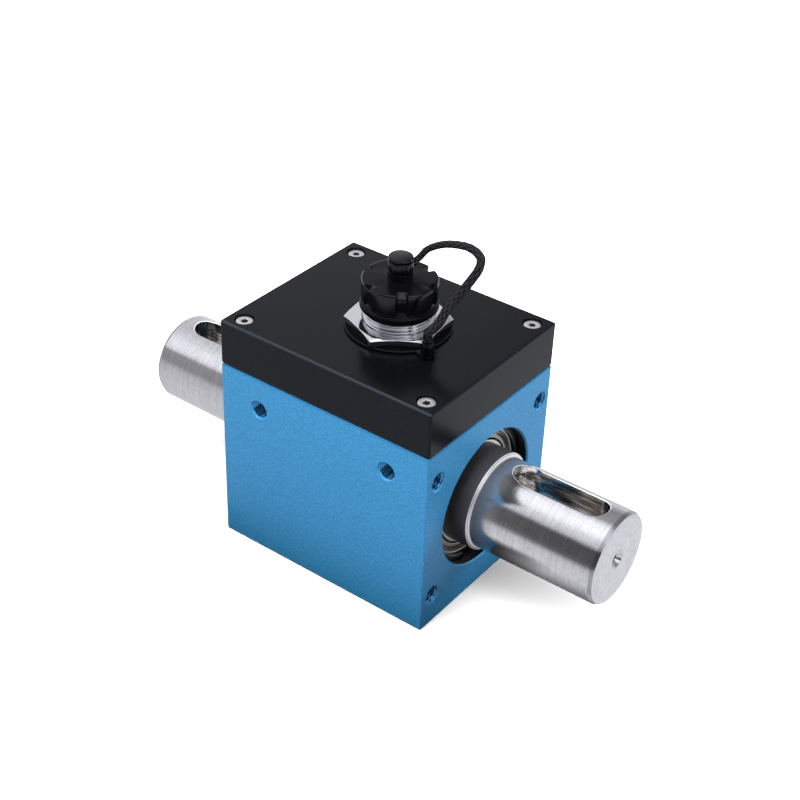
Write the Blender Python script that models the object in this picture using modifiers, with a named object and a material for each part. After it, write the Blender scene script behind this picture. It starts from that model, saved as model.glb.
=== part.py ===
"""Rotary torque sensor: a square block with a keyed shaft at both ends and a capped connector on top.

Metres, +Z up. The origin is the centre of the block's base. The shaft lies along X, and its front end
is at +X. Every size that can be set by itself is a named value below, written once.
"""
import math

import bmesh
import bpy
from mathutils import Matrix, Vector

MM = 0.001

# Case
BODY_LENGTH = 66.0 * MM
BODY_WIDTH = 54.0 * MM
BODY_HEIGHT = 54.0 * MM
COVER_HEIGHT = 13.0 * MM
COVER_TOP_WALL = 3.0 * MM
SEAM = 0.2 * MM
EDGE_CHAMFER = 0.4 * MM
COVER_CHAMFER = 0.6 * MM
POCKET_SIDE_WALL = 7.0 * MM
POCKET_END_WALL = 10.0 * MM
POCKET_DEPTH = 6.0 * MM
POCKET_CORNER = 4.0 * MM
GASKET_WIDTH = 1.2 * MM
GASKET_HEIGHT = 1.1 * MM
GASKET_INSET = 1.4 * MM

# Tapped holes, at their core diameter
TAPPED_HOLE = 4.2 * MM
TAPPED_MOUTH = 5.3 * MM
END_HOLE_INSET_Y = 4.5 * MM
END_HOLE_SPAN_Z = 36.0 * MM
END_HOLE_DEPTH = 9.0 * MM
SIDE_HOLE_SPAN = 41.0 * MM
SIDE_HOLE_DROP = 9.2 * MM
SIDE_HOLE_DEPTH = 7.0 * MM

# Cover screws
COVER_SCREW_INSET_X = 4.5 * MM
COVER_SCREW_INSET_Y = 4.3 * MM
COVER_SCREW_THREAD = 2.5 * MM
COVER_SCREW_HEAD = 4.5 * MM
COVER_SCREW_HEAD_HEIGHT = 2.5 * MM
COVER_SCREW_SUNK = 0.5 * MM
COVER_SCREW_BITE = 5.0 * MM
COVER_SCREW_KEY = 2.0 * MM
COVER_SCREW_EDGE = 0.6 * MM

# Shaft
AXIS_HEIGHT = 27.0 * MM
SHAFT_DIAMETER = 25.0 * MM
SHAFT_REACH = 39.0 * MM
SHAFT_CHAMFER = 1.1 * MM
SHAFT_CHAMFER_FACE = 0.5 * MM
SHAFT_REST_TURN = math.radians(-2.9)
SEAT_DIAMETER = 22.0 * MM
NECK_DIAMETER = 15.0 * MM
NECK_FILLET = 2.0 * MM
SHOULDER_DIAMETER = 27.5 * MM
SHOULDER_WIDTH = 2.4 * MM
CENTRE_HOLE_MOUTH = 5.4 * MM
CENTRE_HOLE_SEAT = 4.7 * MM
CENTRE_HOLE_DRILL = 2.4 * MM
CENTRE_HOLE_DEPTH = 6.0 * MM
KEYWAY_WIDTH = 8.2 * MM
KEYWAY_LENGTH = 27.2 * MM
KEYWAY_DEPTH = 4.0 * MM
KEYWAY_END_MARGIN = 4.5 * MM
COLLAR_DIAMETER = 27.0 * MM
COLLAR_PROUD = 2.9 * MM
COLLAR_CHAMFER = 0.7 * MM

# Ball bearings
BEARING_OUTER = 37.0 * MM
BEARING_WIDTH = 7.0 * MM
BEARING_DEPTH = 4.0 * MM
INNER_RING_LAND = 28.8 * MM
OUTER_RING_LAND = 33.4 * MM
SHIELD_STEP = 0.4 * MM
SHIELD_THICKNESS = 0.4 * MM
BALL_DIAMETER = 3.0 * MM
BALL_COUNT = 8
CAGE_THICKNESS = 0.9 * MM
CAGE_WIDTH = 2.6 * MM
RACE_CLEARANCE = 0.2 * MM
RACE_FLOOR_SHARE = 0.6
BORE_MOUTH = 38.0 * MM
BORE_MOUTH_CHAMFER = 0.4 * MM
RETAINING_RING_THICKNESS = 1.0 * MM
RETAINING_RING_LAND = 1.4 * MM
RETAINING_RING_BITE = 0.5 * MM
RETAINING_RING_GAP = 9.0 * MM

# Rotary transformers, speed disc and gauges
CHAMBER_DIAMETER = 34.6 * MM
CORE_WIDTH = 6.5 * MM
CORE_SPLIT_DIAMETER = 28.6 * MM
CORE_AIR_GAP = 0.4 * MM
COIL_WIDTH = 3.0 * MM
COIL_DEPTH = 1.4 * MM
DISC_WIDTH = 2.4 * MM
DISC_DIAMETER = 33.0 * MM
DISC_TEETH = 20
TOOTH_DEPTH = 1.4 * MM
STACK_SPACE = 0.6 * MM
GAUGE_DIAMETER = 6.0 * MM
GAUGE_THICKNESS = 0.3 * MM
GAUGE_COUNT = 4
ROTOR_BOARD_DIAMETER = 31.0 * MM
ROTOR_BOARD_THICKNESS = 1.2 * MM
PICKUP_DIAMETER = 5.0 * MM
PICKUP_FLANGE = 7.5 * MM
PICKUP_FLANGE_HEIGHT = 1.4 * MM
PICKUP_AIR_GAP = 0.5 * MM

# Main board
BOARD_LENGTH = 30.0 * MM
BOARD_SIDE_SPACE = 2.0 * MM
BOARD_THICKNESS = 1.6 * MM
BOARD_LIFT = 2.4 * MM
BOARD_SCREW_INSET = 3.0 * MM
BOARD_BOSS = 5.0 * MM
BOARD_SCREW_THREAD = 2.0 * MM
BOARD_SCREW_HEAD = 3.8 * MM
BOARD_SCREW_HEAD_HEIGHT = 1.4 * MM
PROCESSOR_SIZE = 9.0 * MM
AMPLIFIER_LENGTH = 5.0 * MM
AMPLIFIER_WIDTH = 6.4 * MM
CHIP_HEIGHT = 1.2 * MM
WIRE_DIAMETER = 1.2 * MM
WIRE_BOW = 0.3 * MM

# Connector and its cap
CONNECTOR_X = 3.0 * MM
SHELL_THREAD = 18.0 * MM
SHELL_FLANGE = 22.0 * MM
SHELL_FLANGE_HEIGHT = 1.8 * MM
SHELL_TAIL = 3.0 * MM
SHELL_SHOULDER_HEIGHT = 5.7 * MM
COUPLING_THREAD = 16.0 * MM
SHELL_HEIGHT = 11.5 * MM
SOCKET_DIAMETER = 13.4 * MM
SOCKET_LIP = 0.7 * MM
KEY_WIDTH = 1.4 * MM
KEY_PROUD = 0.9 * MM
INSERT_HEIGHT = 2.6 * MM
CONTACT_DIAMETER = 1.0 * MM
CONTACT_CIRCLE = 7.0 * MM
CONTACT_COUNT = 6
CONTACT_HEIGHT = 8.5 * MM
CONTACT_TAIL = 1.4 * MM
SEAL_THICKNESS = 1.0 * MM
NUT_ACROSS_FLATS = 24.0 * MM
NUT_TOP = 2.8 * MM
NUT_TURN = math.radians(36.6)
NUT_CORNER_SLOPE = 0.5
LANYARD_RING_DIAMETER = 27.5 * MM
LANYARD_RING_THICKNESS = 0.6 * MM
LANYARD_TAB_REACH = 16.0 * MM
LANYARD_TAB_WIDTH = 4.0 * MM
LANYARD_TAB_ANGLE = math.radians(-26.7)
FERRULE_DIAMETER = 3.1 * MM
FERRULE_TOP = 4.2 * MM
CAP_DIAMETER = 19.4 * MM
CAP_RIM_DIAMETER = 20.0 * MM
CAP_RIM_HEIGHT = 1.3 * MM
CAP_BOTTOM = 6.0 * MM
CAP_TOP = 13.9 * MM
CAP_ROOF = 1.2 * MM
CAP_SEAL_THICKNESS = 0.6 * MM
CAP_NOTCHES = 6
CAP_REST_TURN = math.radians(10.0)
CAP_NOTCH_WIDTH = 2.6 * MM
CAP_NOTCH_DEPTH = 0.8 * MM
STUB_DIAMETER = 6.4 * MM
STUB_NECK = 3.8 * MM
STUB_NECK_BOTTOM = 15.9 * MM
STUB_NECK_TOP = 19.1 * MM
STUB_TOP = 20.0 * MM
EYE_DIAMETER = 6.5 * MM
EYE_LUG_ANGLE = math.radians(62.0)
EYE_LUG_REACH = 4.2 * MM
EYE_LUG_DIAMETER = 2.0 * MM
CORD_DIAMETER = 2.3 * MM

# Clearances between neighbouring pieces
GAP = 0.3 * MM
FIT = 0.1 * MM

# Facets round a circle
AXIS_STEPS = 24
CAP_STEPS = 24
INNER_STEPS = 18
SMALL_STEPS = 10
TINY_STEPS = 8

# Places worked out from the sizes above
END_FACE = BODY_LENGTH / 2
SIDE_FACE = BODY_WIDTH / 2
COVER_TOP = BODY_HEIGHT + COVER_HEIGHT
COVER_CEILING = COVER_TOP - COVER_TOP_WALL
SHAFT_END = END_FACE + SHAFT_REACH
SHAFT_RADIUS = SHAFT_DIAMETER / 2
BEARING_FACE = END_FACE - BEARING_DEPTH
BEARING_BACK = BEARING_FACE - BEARING_WIDTH
SHOULDER_FACE = BEARING_BACK - GAP
SHOULDER_BACK = SHOULDER_FACE - SHOULDER_WIDTH
CHAMBER_RADIUS = CHAMBER_DIAMETER / 2
POCKET_LENGTH = BODY_LENGTH - 2 * POCKET_END_WALL
POCKET_WIDTH = BODY_WIDTH - 2 * POCKET_SIDE_WALL
POCKET_FLOOR = BODY_HEIGHT - POCKET_DEPTH
BOARD_BOTTOM = POCKET_FLOOR + BOARD_LIFT
BOARD_TOP = BOARD_BOTTOM + BOARD_THICKNESS
BOARD_X = POCKET_LENGTH / 2 - GAP - FIT - BOARD_LENGTH / 2
BOARD_WIDTH = POCKET_WIDTH - 2 * BOARD_SIDE_SPACE
SCREW_X = END_FACE - COVER_SCREW_INSET_X
SCREW_Y = SIDE_FACE - COVER_SCREW_INSET_Y
DISC_BACK = -SHOULDER_BACK + GAP
DISC_FRONT = DISC_BACK + DISC_WIDTH
POWER_CORE_BACK = DISC_FRONT + STACK_SPACE
SIGNAL_CORE_FRONT = SHOULDER_BACK - GAP
SIGNAL_CORE_BACK = SIGNAL_CORE_FRONT - CORE_WIDTH
ROTOR_BOARD_FRONT = SIGNAL_CORE_BACK - STACK_SPACE
NECK_FRONT = ROTOR_BOARD_FRONT - ROTOR_BOARD_THICKNESS - STACK_SPACE
NECK_BACK = POWER_CORE_BACK + CORE_WIDTH + STACK_SPACE
PICKUP_X = (DISC_BACK + DISC_FRONT) / 2
SEAL_TOP = COVER_CEILING - GAP
FLANGE_TOP = SEAL_TOP - SEAL_THICKNESS - GAP
FLANGE_BOTTOM = FLANGE_TOP - SHELL_FLANGE_HEIGHT
SHELL_BOTTOM = FLANGE_BOTTOM - SHELL_TAIL
SHELL_TOP = COVER_TOP + SHELL_HEIGHT
INSERT_TOP = COVER_TOP + INSERT_HEIGHT
CONTACT_BOTTOM = SHELL_BOTTOM - CONTACT_TAIL
RING_BOTTOM = COVER_TOP + FIT
RING_TOP = RING_BOTTOM + LANYARD_RING_THICKNESS
EYE_BOTTOM = COVER_TOP + STUB_NECK_BOTTOM + GAP
EYE_TOP = COVER_TOP + STUB_NECK_TOP - GAP
EYE_MIDDLE = (EYE_BOTTOM + EYE_TOP) / 2

# The cord's route over the cover, as offsets from the connector's axis at the cover's top:
# out of the eye on the stub, up over a loop behind the cap, and down to the ferrule by the nut.
CORD_ROUTE = [
    (4.1, 5.6, 20.9),
    (7.7, 6.3, 23.1),
    (11.6, 6.3, 24.5),
    (15.6, 6.0, 25.3),
    (18.7, 5.5, 24.9),
    (20.2, 4.8, 23.8),
    (20.4, 3.5, 21.7),
    (19.0, 2.0, 18.4),
    (17.3, 0.0, 14.7),
    (16.2, -2.5, 12.0),
    (15.5, -5.0, 8.7),
]
CORD_POINT_SPACING = 3.0 * MM


def clear_scene():
    for item in list(bpy.data.objects):
        bpy.data.objects.remove(item, do_unlink=True)


def new_collection(name):
    collection = bpy.data.collections.new(name)
    bpy.context.scene.collection.children.link(collection)
    return collection


clear_scene()
PARTS = new_collection("rotary_torque_sensor")
CUTTERS = new_collection("cutters")


def material(name, color, roughness, metallic):
    """A plain principled material in the part's own colour."""
    made = bpy.data.materials.new(name)
    made.use_nodes = True
    shader = made.node_tree.nodes["Principled BSDF"]
    shader.inputs["Base Color"].default_value = (*color, 1.0)
    shader.inputs["Roughness"].default_value = roughness
    shader.inputs["Metallic"].default_value = metallic
    made.diffuse_color = (*color, 1.0)
    return made


BLUE = material("blue_anodised", (0.07, 0.29, 0.55), 0.45, 0.6)
BLACK = material("black_anodised", (0.028, 0.03, 0.036), 0.4, 0.5)
STEEL = material("ground_steel", (0.62, 0.61, 0.6), 0.3, 1.0)
POLISHED = material("polished_steel", (0.5, 0.5, 0.52), 0.15, 1.0)
BEARING_STEEL = material("bearing_steel", (0.55, 0.54, 0.52), 0.2, 1.0)
SHIELD_STEEL = material("shield_steel", (0.4, 0.39, 0.37), 0.35, 1.0)
STAINLESS = material("stainless_steel", (0.66, 0.64, 0.6), 0.3, 1.0)
NICKEL = material("nickel_plate", (0.72, 0.72, 0.73), 0.18, 1.0)
BLACK_PLASTIC = material("black_plastic", (0.012, 0.012, 0.014), 0.35, 0.0)
CORD_BLACK = material("braided_cord", (0.015, 0.015, 0.017), 0.8, 0.0)
RUBBER = material("rubber", (0.02, 0.02, 0.02), 0.7, 0.0)
FERRITE = material("ferrite", (0.05, 0.05, 0.055), 0.6, 0.2)
COPPER = material("copper", (0.72, 0.33, 0.16), 0.3, 1.0)
GOLD = material("gold_plate", (0.83, 0.6, 0.25), 0.22, 1.0)
BOARD_GREEN = material("circuit_board", (0.03, 0.2, 0.08), 0.5, 0.0)
GAUGE_FOIL = material("gauge_foil", (0.7, 0.45, 0.2), 0.4, 0.3)


def place(mesh, name, skin, collection=None):
    """Make an object from a mesh and put it in the parts collection, or in another."""
    made = bpy.data.objects.new(name, mesh)
    (collection or PARTS).objects.link(made)
    if skin is not None:
        made.data.materials.append(skin)
    return made


def mark_cutter(tool):
    tool.hide_render = True
    tool.display_type = "WIRE"
    return tool


def set_screw(turned_object, steps):
    """Sweep a profile in the XZ plane a full turn about Z."""
    screw = turned_object.modifiers.new("turn", "SCREW")
    screw.axis = "Z"
    screw.angle = math.tau
    screw.steps = steps
    screw.render_steps = steps
    screw.use_merge_vertices = True
    screw.merge_threshold = 0.000002
    screw.use_normal_calculate = False
    screw.use_smooth_shade = True
    return screw


def turned(name, profile, skin, steps=AXIS_STEPS, closed=False, collection=None):
    """Turn a profile of (radius, height) points, which runs down its outer side.

    An open profile starts and ends on the axis. A closed one is the section of a ring.
    """
    mesh = bpy.data.meshes.new(name)
    points = [(radius, 0.0, height) for radius, height in profile]
    edges = [(i, i + 1) for i in range(len(points) - 1)]
    if closed:
        edges.append((len(points) - 1, 0))
    mesh.from_pydata(points, edges, [])
    made = place(mesh, name, skin, collection)
    set_screw(made, steps)
    return made


def ring(name, outer, inner, bottom, top, skin, steps=AXIS_STEPS, collection=None):
    """A plain ring from its two radii and its two end heights."""
    section = [(outer, top), (outer, bottom), (inner, bottom), (inner, top)]
    return turned(name, section, skin, steps, True, collection)


def along_shaft(item, side=1, x=0.0, axle=None):
    """Lay an item's own Z along the shaft, towards +X or, for side -1, towards -X."""
    item.rotation_euler = (0.0, side * math.pi / 2, 0.0)
    if axle is None:
        item.location = (x, 0.0, AXIS_HEIGHT)
    else:
        item.parent = axle
        item.location = (x, 0.0, 0.0)
    return item


def box(name, size, centre, skin, collection=None):
    mesh = bpy.data.meshes.new(name)
    shape = bmesh.new()
    bmesh.ops.create_cube(shape, size=1.0)
    bmesh.ops.scale(shape, vec=size, verts=shape.verts)
    shape.to_mesh(mesh)
    shape.free()
    made = place(mesh, name, skin, collection)
    made.location = centre
    return made


def rod_cutter(name, radius, bottom, top, steps=SMALL_STEPS):
    """A cylinder for cutting a hole, upright on its own Z."""
    outline = [(0.0, top), (radius, top), (radius, bottom), (0.0, bottom)]
    return mark_cutter(turned(name, outline, None, steps, collection=CUTTERS))


def plate(name, outline, thickness, skin, holes=(), collection=None):
    """Extrude a flat outline, with holes, centred on its own XY plane.

    The outline is a filled curve, made a mesh so that it can be cut.
    """
    curve = bpy.data.curves.new(name + "_outline", "CURVE")
    curve.dimensions = "2D"
    curve.fill_mode = "BOTH"
    curve.extrude = thickness / 2
    for loop in [outline, *holes]:
        spline = curve.splines.new("POLY")
        spline.points.add(len(loop) - 1)
        for point, (x, y) in zip(spline.points, loop):
            point.co = (x, y, 0.0, 1.0)
        spline.use_cyclic_u = True
    return curve_to_mesh(name, curve, skin, collection)


def curve_to_mesh(name, curve, skin, collection=None):
    """Turn a curve into a closed mesh object, with its caps welded on."""
    holder = bpy.data.objects.new(name + "_curve", curve)
    PARTS.objects.link(holder)
    bpy.context.view_layer.update()
    depsgraph = bpy.context.evaluated_depsgraph_get()
    mesh = bpy.data.meshes.new_from_object(holder.evaluated_get(depsgraph))
    shape = bmesh.new()
    shape.from_mesh(mesh)
    bmesh.ops.remove_doubles(shape, verts=shape.verts, dist=0.000002)
    bmesh.ops.recalc_face_normals(shape, faces=shape.faces)
    shape.to_mesh(mesh)
    shape.free()
    mesh.name = name
    bpy.data.objects.remove(holder, do_unlink=True)
    mesh.materials.clear()
    return place(mesh, name, skin, collection)


def arc(centre, radius, start, end, steps):
    """Points along an arc, both ends included."""
    return [
        (
            centre[0] + radius * math.cos(start + (end - start) * i / steps),
            centre[1] + radius * math.sin(start + (end - start) * i / steps),
        )
        for i in range(steps + 1)
    ]


def rounded_rectangle(length, width, corner, steps=4):
    """A rectangle with quarter-round corners, anticlockwise from its +X +Y corner."""
    x = length / 2 - corner
    y = width / 2 - corner
    quarter = math.pi / 2
    points = []
    for turn, (cx, cy) in enumerate([(x, y), (-x, y), (-x, -y), (x, -y)]):
        points += arc((cx, cy), corner, turn * quarter, (turn + 1) * quarter, steps)
    return points


def slot_outline(length, width, steps=8):
    """A slot with round ends, along X and centred."""
    reach = length / 2 - width / 2
    right = arc((reach, 0.0), width / 2, -math.pi / 2, math.pi / 2, steps)
    left = arc((-reach, 0.0), width / 2, math.pi / 2, 3 * math.pi / 2, steps)
    return right + left


def circle(radius, steps, turn=0.0):
    return arc((0.0, 0.0), radius, turn, turn + math.tau * (steps - 1) / steps, steps - 1)


def modify(item, operation, tool):
    cutting = item.modifiers.new(tool.name, "BOOLEAN")
    cutting.operation = operation
    cutting.solver = "EXACT"
    cutting.object = tool
    return cutting


def cut(item, tool):
    return modify(item, "DIFFERENCE", mark_cutter(tool))


def add(item, tool):
    return modify(item, "UNION", mark_cutter(tool))


def keep_inside(item, tool):
    return modify(item, "INTERSECT", mark_cutter(tool))


def chamfer(item, width):
    edges = item.modifiers.new("edges", "BEVEL")
    edges.width = width
    edges.segments = 1
    edges.limit_method = "ANGLE"
    return edges


def mirrored_profile(half):
    """A profile from its upper half: the same points again below the middle, in reverse."""
    return half + [(radius, -height) for radius, height in reversed(half)]


def tapped_hole_cutter(name, depth):
    """A drilled hole, mouth upwards at its own origin, with a countersunk mouth and a drill point."""
    core = TAPPED_HOLE / 2
    mouth = TAPPED_MOUTH / 2
    outline = [
        (0.0, GAP),
        (mouth + GAP, GAP),
        (core, -(mouth - core)),
        (core, -depth),
        (0.0, -depth - core / 2),
    ]
    return mark_cutter(turned(name, outline, None, SMALL_STEPS, collection=CUTTERS))


def bore_cutter():
    """The whole bore along the shaft's axis, from mouth to mouth, with seats and ring grooves."""
    mouth = BORE_MOUTH / 2
    seat = BEARING_OUTER / 2 + FIT
    groove = mouth + RETAINING_RING_BITE
    groove_back = BEARING_FACE
    groove_front = groove_back + RETAINING_RING_THICKNESS + 2 * GAP
    half = [
        (0.0, END_FACE + GAP),
        (mouth + BORE_MOUTH_CHAMFER + GAP, END_FACE + GAP),
        (mouth, END_FACE - BORE_MOUTH_CHAMFER),
        (mouth, groove_front),
        (groove, groove_front),
        (groove, groove_back),
        (seat, groove_back),
        (seat, BEARING_BACK - GAP),
        (CHAMBER_RADIUS, BEARING_BACK - GAP),
    ]
    return along_shaft(mark_cutter(turned("bore_cut", mirrored_profile(half), None, collection=CUTTERS)))


def board_screw_places():
    reach_x = BOARD_LENGTH / 2 - BOARD_SCREW_INSET
    reach_y = BOARD_WIDTH / 2 - BOARD_SCREW_INSET
    return [(BOARD_X + sx * reach_x, sy * reach_y) for sx in (-1, 1) for sy in (-1, 1)]


def cover_screw_places():
    return [(sx * SCREW_X, sy * SCREW_Y) for sx, sy in ((1, -1), (1, 1), (-1, 1), (-1, -1))]


def pocket_outline(grow=0.0):
    return rounded_rectangle(
        POCKET_LENGTH + 2 * grow, POCKET_WIDTH + 2 * grow, POCKET_CORNER + grow
    )


def build_housing():
    body = box(
        "housing",
        (BODY_LENGTH, BODY_WIDTH, BODY_HEIGHT),
        (0.0, 0.0, BODY_HEIGHT / 2),
        BLUE,
    )
    chamfer(body, EDGE_CHAMFER)
    cut(body, bore_cutter())

    pocket = plate("pocket_cut", pocket_outline(), 2 * POCKET_DEPTH, None, collection=CUTTERS)
    pocket.location = (0.0, 0.0, BODY_HEIGHT)
    cut(body, pocket)

    groove_in = GASKET_INSET - GAP
    groove_out = GASKET_INSET + GASKET_WIDTH + GAP
    groove = plate(
        "gasket_groove_cut",
        pocket_outline(groove_out),
        2 * (GASKET_HEIGHT + FIT),
        None,
        [pocket_outline(groove_in)],
        CUTTERS,
    )
    groove.location = (0.0, 0.0, BODY_HEIGHT)
    cut(body, groove)

    boss_top = BOARD_BOTTOM - FIT
    for index, (x, y) in enumerate(board_screw_places(), 1):
        boss = rod_cutter("board_boss_%d" % index, BOARD_BOSS / 2, POCKET_FLOOR - GAP, boss_top)
        boss.location = (x, y, 0.0)
        add(body, boss)
        hole = rod_cutter(
            "board_hole_%d" % index,
            BOARD_SCREW_THREAD / 2 + FIT,
            POCKET_FLOOR - 3 * GAP,
            BODY_HEIGHT,
            TINY_STEPS,
        )
        hole.location = (x, y, 0.0)
        cut(body, hole)

    for index, (x, y) in enumerate(cover_screw_places(), 1):
        bottom = BODY_HEIGHT - COVER_SCREW_BITE - 2 * GAP
        hole = rod_cutter(
            "cover_screw_hole_%d" % index,
            COVER_SCREW_THREAD / 2 + FIT,
            bottom,
            BODY_HEIGHT + GAP,
            TINY_STEPS,
        )
        hole.location = (x, y, 0.0)
        cut(body, hole)

    for side in (1, -1):
        for sy in (-1, 1):
            for sz in (-1, 1):
                hole = tapped_hole_cutter("end_hole_cut", END_HOLE_DEPTH)
                hole.rotation_euler = (0.0, side * math.pi / 2, 0.0)
                height = AXIS_HEIGHT + sz * END_HOLE_SPAN_Z / 2
                hole.location = (side * END_FACE, sy * (SIDE_FACE - END_HOLE_INSET_Y), height)
                cut(body, hole)
        for sx in (-1, 1):
            hole = tapped_hole_cutter("side_hole_cut", SIDE_HOLE_DEPTH)
            hole.rotation_euler = (-side * math.pi / 2, 0.0, 0.0)
            hole.location = (
                sx * SIDE_HOLE_SPAN / 2,
                side * SIDE_FACE,
                BODY_HEIGHT - SIDE_HOLE_DROP,
            )
            cut(body, hole)

    pickup_well = rod_cutter("pickup_well_cut", PICKUP_DIAMETER / 2 + GAP, AXIS_HEIGHT, BODY_HEIGHT)
    pickup_well.location = (PICKUP_X, 0.0, 0.0)
    cut(body, pickup_well)
    return body


def build_cover():
    height = COVER_HEIGHT - SEAM
    bottom = BODY_HEIGHT + SEAM
    cover = box(
        "top_cover",
        (BODY_LENGTH, BODY_WIDTH, height),
        (0.0, 0.0, bottom + height / 2),
        BLACK,
    )
    chamfer(cover, COVER_CHAMFER)

    inside = plate(
        "cover_inside_cut",
        pocket_outline(),
        2 * (COVER_CEILING - bottom),
        None,
        collection=CUTTERS,
    )
    inside.location = (0.0, 0.0, bottom)
    cut(cover, inside)

    hole = rod_cutter(
        "connector_hole_cut",
        SHELL_THREAD / 2 + GAP,
        COVER_CEILING - GAP,
        COVER_TOP + GAP,
        CAP_STEPS,
    )
    hole.location = (CONNECTOR_X, 0.0, 0.0)
    cut(cover, hole)

    for index, (x, y) in enumerate(cover_screw_places(), 1):
        seat = COVER_TOP - COVER_SCREW_SUNK - COVER_SCREW_HEAD_HEIGHT - FIT
        sink = COVER_SCREW_HEAD / 2 + GAP
        through = COVER_SCREW_THREAD / 2 + GAP
        outline = [
            (0.0, COVER_TOP + GAP),
            (sink, COVER_TOP + GAP),
            (sink, seat),
            (through, seat),
            (through, bottom - GAP),
            (0.0, bottom - GAP),
        ]
        tool = turned("cover_sink_%d" % index, outline, None, SMALL_STEPS, collection=CUTTERS)
        tool.location = (x, y, 0.0)
        cut(cover, tool)
    return cover


def build_gasket():
    seal = plate(
        "cover_gasket",
        pocket_outline(GASKET_INSET + GASKET_WIDTH),
        GASKET_HEIGHT,
        RUBBER,
        [pocket_outline(GASKET_INSET)],
    )
    seal.location = (0.0, 0.0, BODY_HEIGHT - GASKET_HEIGHT / 2)
    return seal


def hexagon(across_flats, turn=0.0):
    return circle(across_flats / math.sqrt(3.0), 6, turn)


def build_cover_screw(index, x, y):
    """A socket head screw from its head, sunk in the cover, to its tip in the block."""
    top = COVER_TOP - COVER_SCREW_SUNK
    seat = top - COVER_SCREW_HEAD_HEIGHT
    head = COVER_SCREW_HEAD / 2
    shank = COVER_SCREW_THREAD / 2
    outline = [
        (0.0, top),
        (head - COVER_SCREW_EDGE, top),
        (head, top - COVER_SCREW_EDGE),
        (head, seat),
        (shank, seat),
        (shank, BODY_HEIGHT - COVER_SCREW_BITE),
        (0.0, BODY_HEIGHT - COVER_SCREW_BITE),
    ]
    name = "cover_screw_%d" % index
    screw = turned(name, outline, STAINLESS, TINY_STEPS)
    screw.location = (x, y, 0.0)
    socket = plate(
        name + "_socket_cut",
        hexagon(COVER_SCREW_KEY),
        COVER_SCREW_HEAD_HEIGHT,
        None,
        collection=CUTTERS,
    )
    socket.location = (x, y, top)
    cut(screw, socket)
    return screw


def build_shaft_axle():
    """The empty on the shaft's axis that carries everything that turns with it."""
    axle = bpy.data.objects.new("shaft_axle", None)
    axle.location = (0.0, 0.0, AXIS_HEIGHT)
    axle.rotation_euler = (SHAFT_REST_TURN, 0.0, 0.0)
    PARTS.objects.link(axle)
    return axle


def build_shaft(axle):
    """The shaft, turned from one bar: keyed ends, bearing seats, shoulders and a thin neck."""
    drill = CENTRE_HOLE_DRILL / 2
    seat = CENTRE_HOLE_SEAT / 2
    mouth = CENTRE_HOLE_MOUTH / 2
    face = SHAFT_RADIUS - SHAFT_CHAMFER_FACE
    cone = seat - drill

    def shaft_end():
        """From the axis at the bottom of the centre hole, out round the end, to the bearing seat."""
        return [
            (0.0, SHAFT_END - CENTRE_HOLE_DEPTH),
            (drill, SHAFT_END - CENTRE_HOLE_DEPTH + drill / 2),
            (drill, SHAFT_END - cone - (mouth - seat)),
            (seat, SHAFT_END - (mouth - seat)),
            (mouth, SHAFT_END),
            (face, SHAFT_END),
            (SHAFT_RADIUS, SHAFT_END - SHAFT_CHAMFER),
            (SHAFT_RADIUS, SHOULDER_FACE),
            (SHOULDER_DIAMETER / 2, SHOULDER_FACE),
            (SHOULDER_DIAMETER / 2, SHOULDER_BACK),
            (SEAT_DIAMETER / 2, SHOULDER_BACK),
        ]

    neck = NECK_DIAMETER / 2
    land = SEAT_DIAMETER / 2
    fillet = NECK_FILLET
    halfway = fillet * (1 - math.sqrt(0.5))
    front_neck = [
        (land, NECK_FRONT),
        (neck + fillet, NECK_FRONT),
        (neck + halfway, NECK_FRONT - halfway),
        (neck, NECK_FRONT - fillet),
    ]
    rear_neck = [
        (neck, NECK_BACK + fillet),
        (neck + halfway, NECK_BACK + halfway),
        (neck + fillet, NECK_BACK),
        (land, NECK_BACK),
    ]
    rear_end = [(radius, -height) for radius, height in reversed(shaft_end())]
    shaft = turned("torsion_shaft", shaft_end() + front_neck + rear_neck + rear_end, STEEL)
    along_shaft(shaft, 1, 0.0, axle)

    for side in (1, -1):
        keyway = plate(
            "keyway_cut",
            slot_outline(KEYWAY_LENGTH, KEYWAY_WIDTH),
            2 * KEYWAY_DEPTH,
            None,
            collection=CUTTERS,
        )
        keyway.parent = axle
        middle = SHAFT_END - KEYWAY_END_MARGIN - KEYWAY_LENGTH / 2
        keyway.location = (side * middle, 0.0, SHAFT_RADIUS)
        cut(shaft, keyway)
    return shaft


def build_collar(name, side, axle):
    """A sleeve on the shaft from the bearing's inner ring to just outside the block."""
    inner = SHAFT_RADIUS + FIT
    outer = COLLAR_DIAMETER / 2
    front = END_FACE + COLLAR_PROUD + COLLAR_CHAMFER
    back = BEARING_FACE + FIT
    section = [
        (outer - COLLAR_CHAMFER, front),
        (outer, front - COLLAR_CHAMFER),
        (outer, back),
        (inner, back),
        (inner, front),
    ]
    return along_shaft(turned(name, section, POLISHED, closed=True), side, 0.0, axle)


def raceway(radius, towards_axis):
    """A race's groove with a flat floor, from its front edge to its back edge."""
    ball = BALL_DIAMETER / 2 + RACE_CLEARANCE
    middle = (BEARING_FACE + BEARING_BACK) / 2
    pitch = (INNER_RING_LAND + OUTER_RING_LAND) / 4
    half_width = math.sqrt(ball**2 - (radius - pitch) ** 2)
    bottom = pitch - ball if towards_axis else pitch + ball
    return [
        (radius, middle + half_width),
        (bottom, middle + RACE_FLOOR_SHARE * half_width),
        (bottom, middle - RACE_FLOOR_SHARE * half_width),
        (radius, middle - half_width),
    ]


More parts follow.
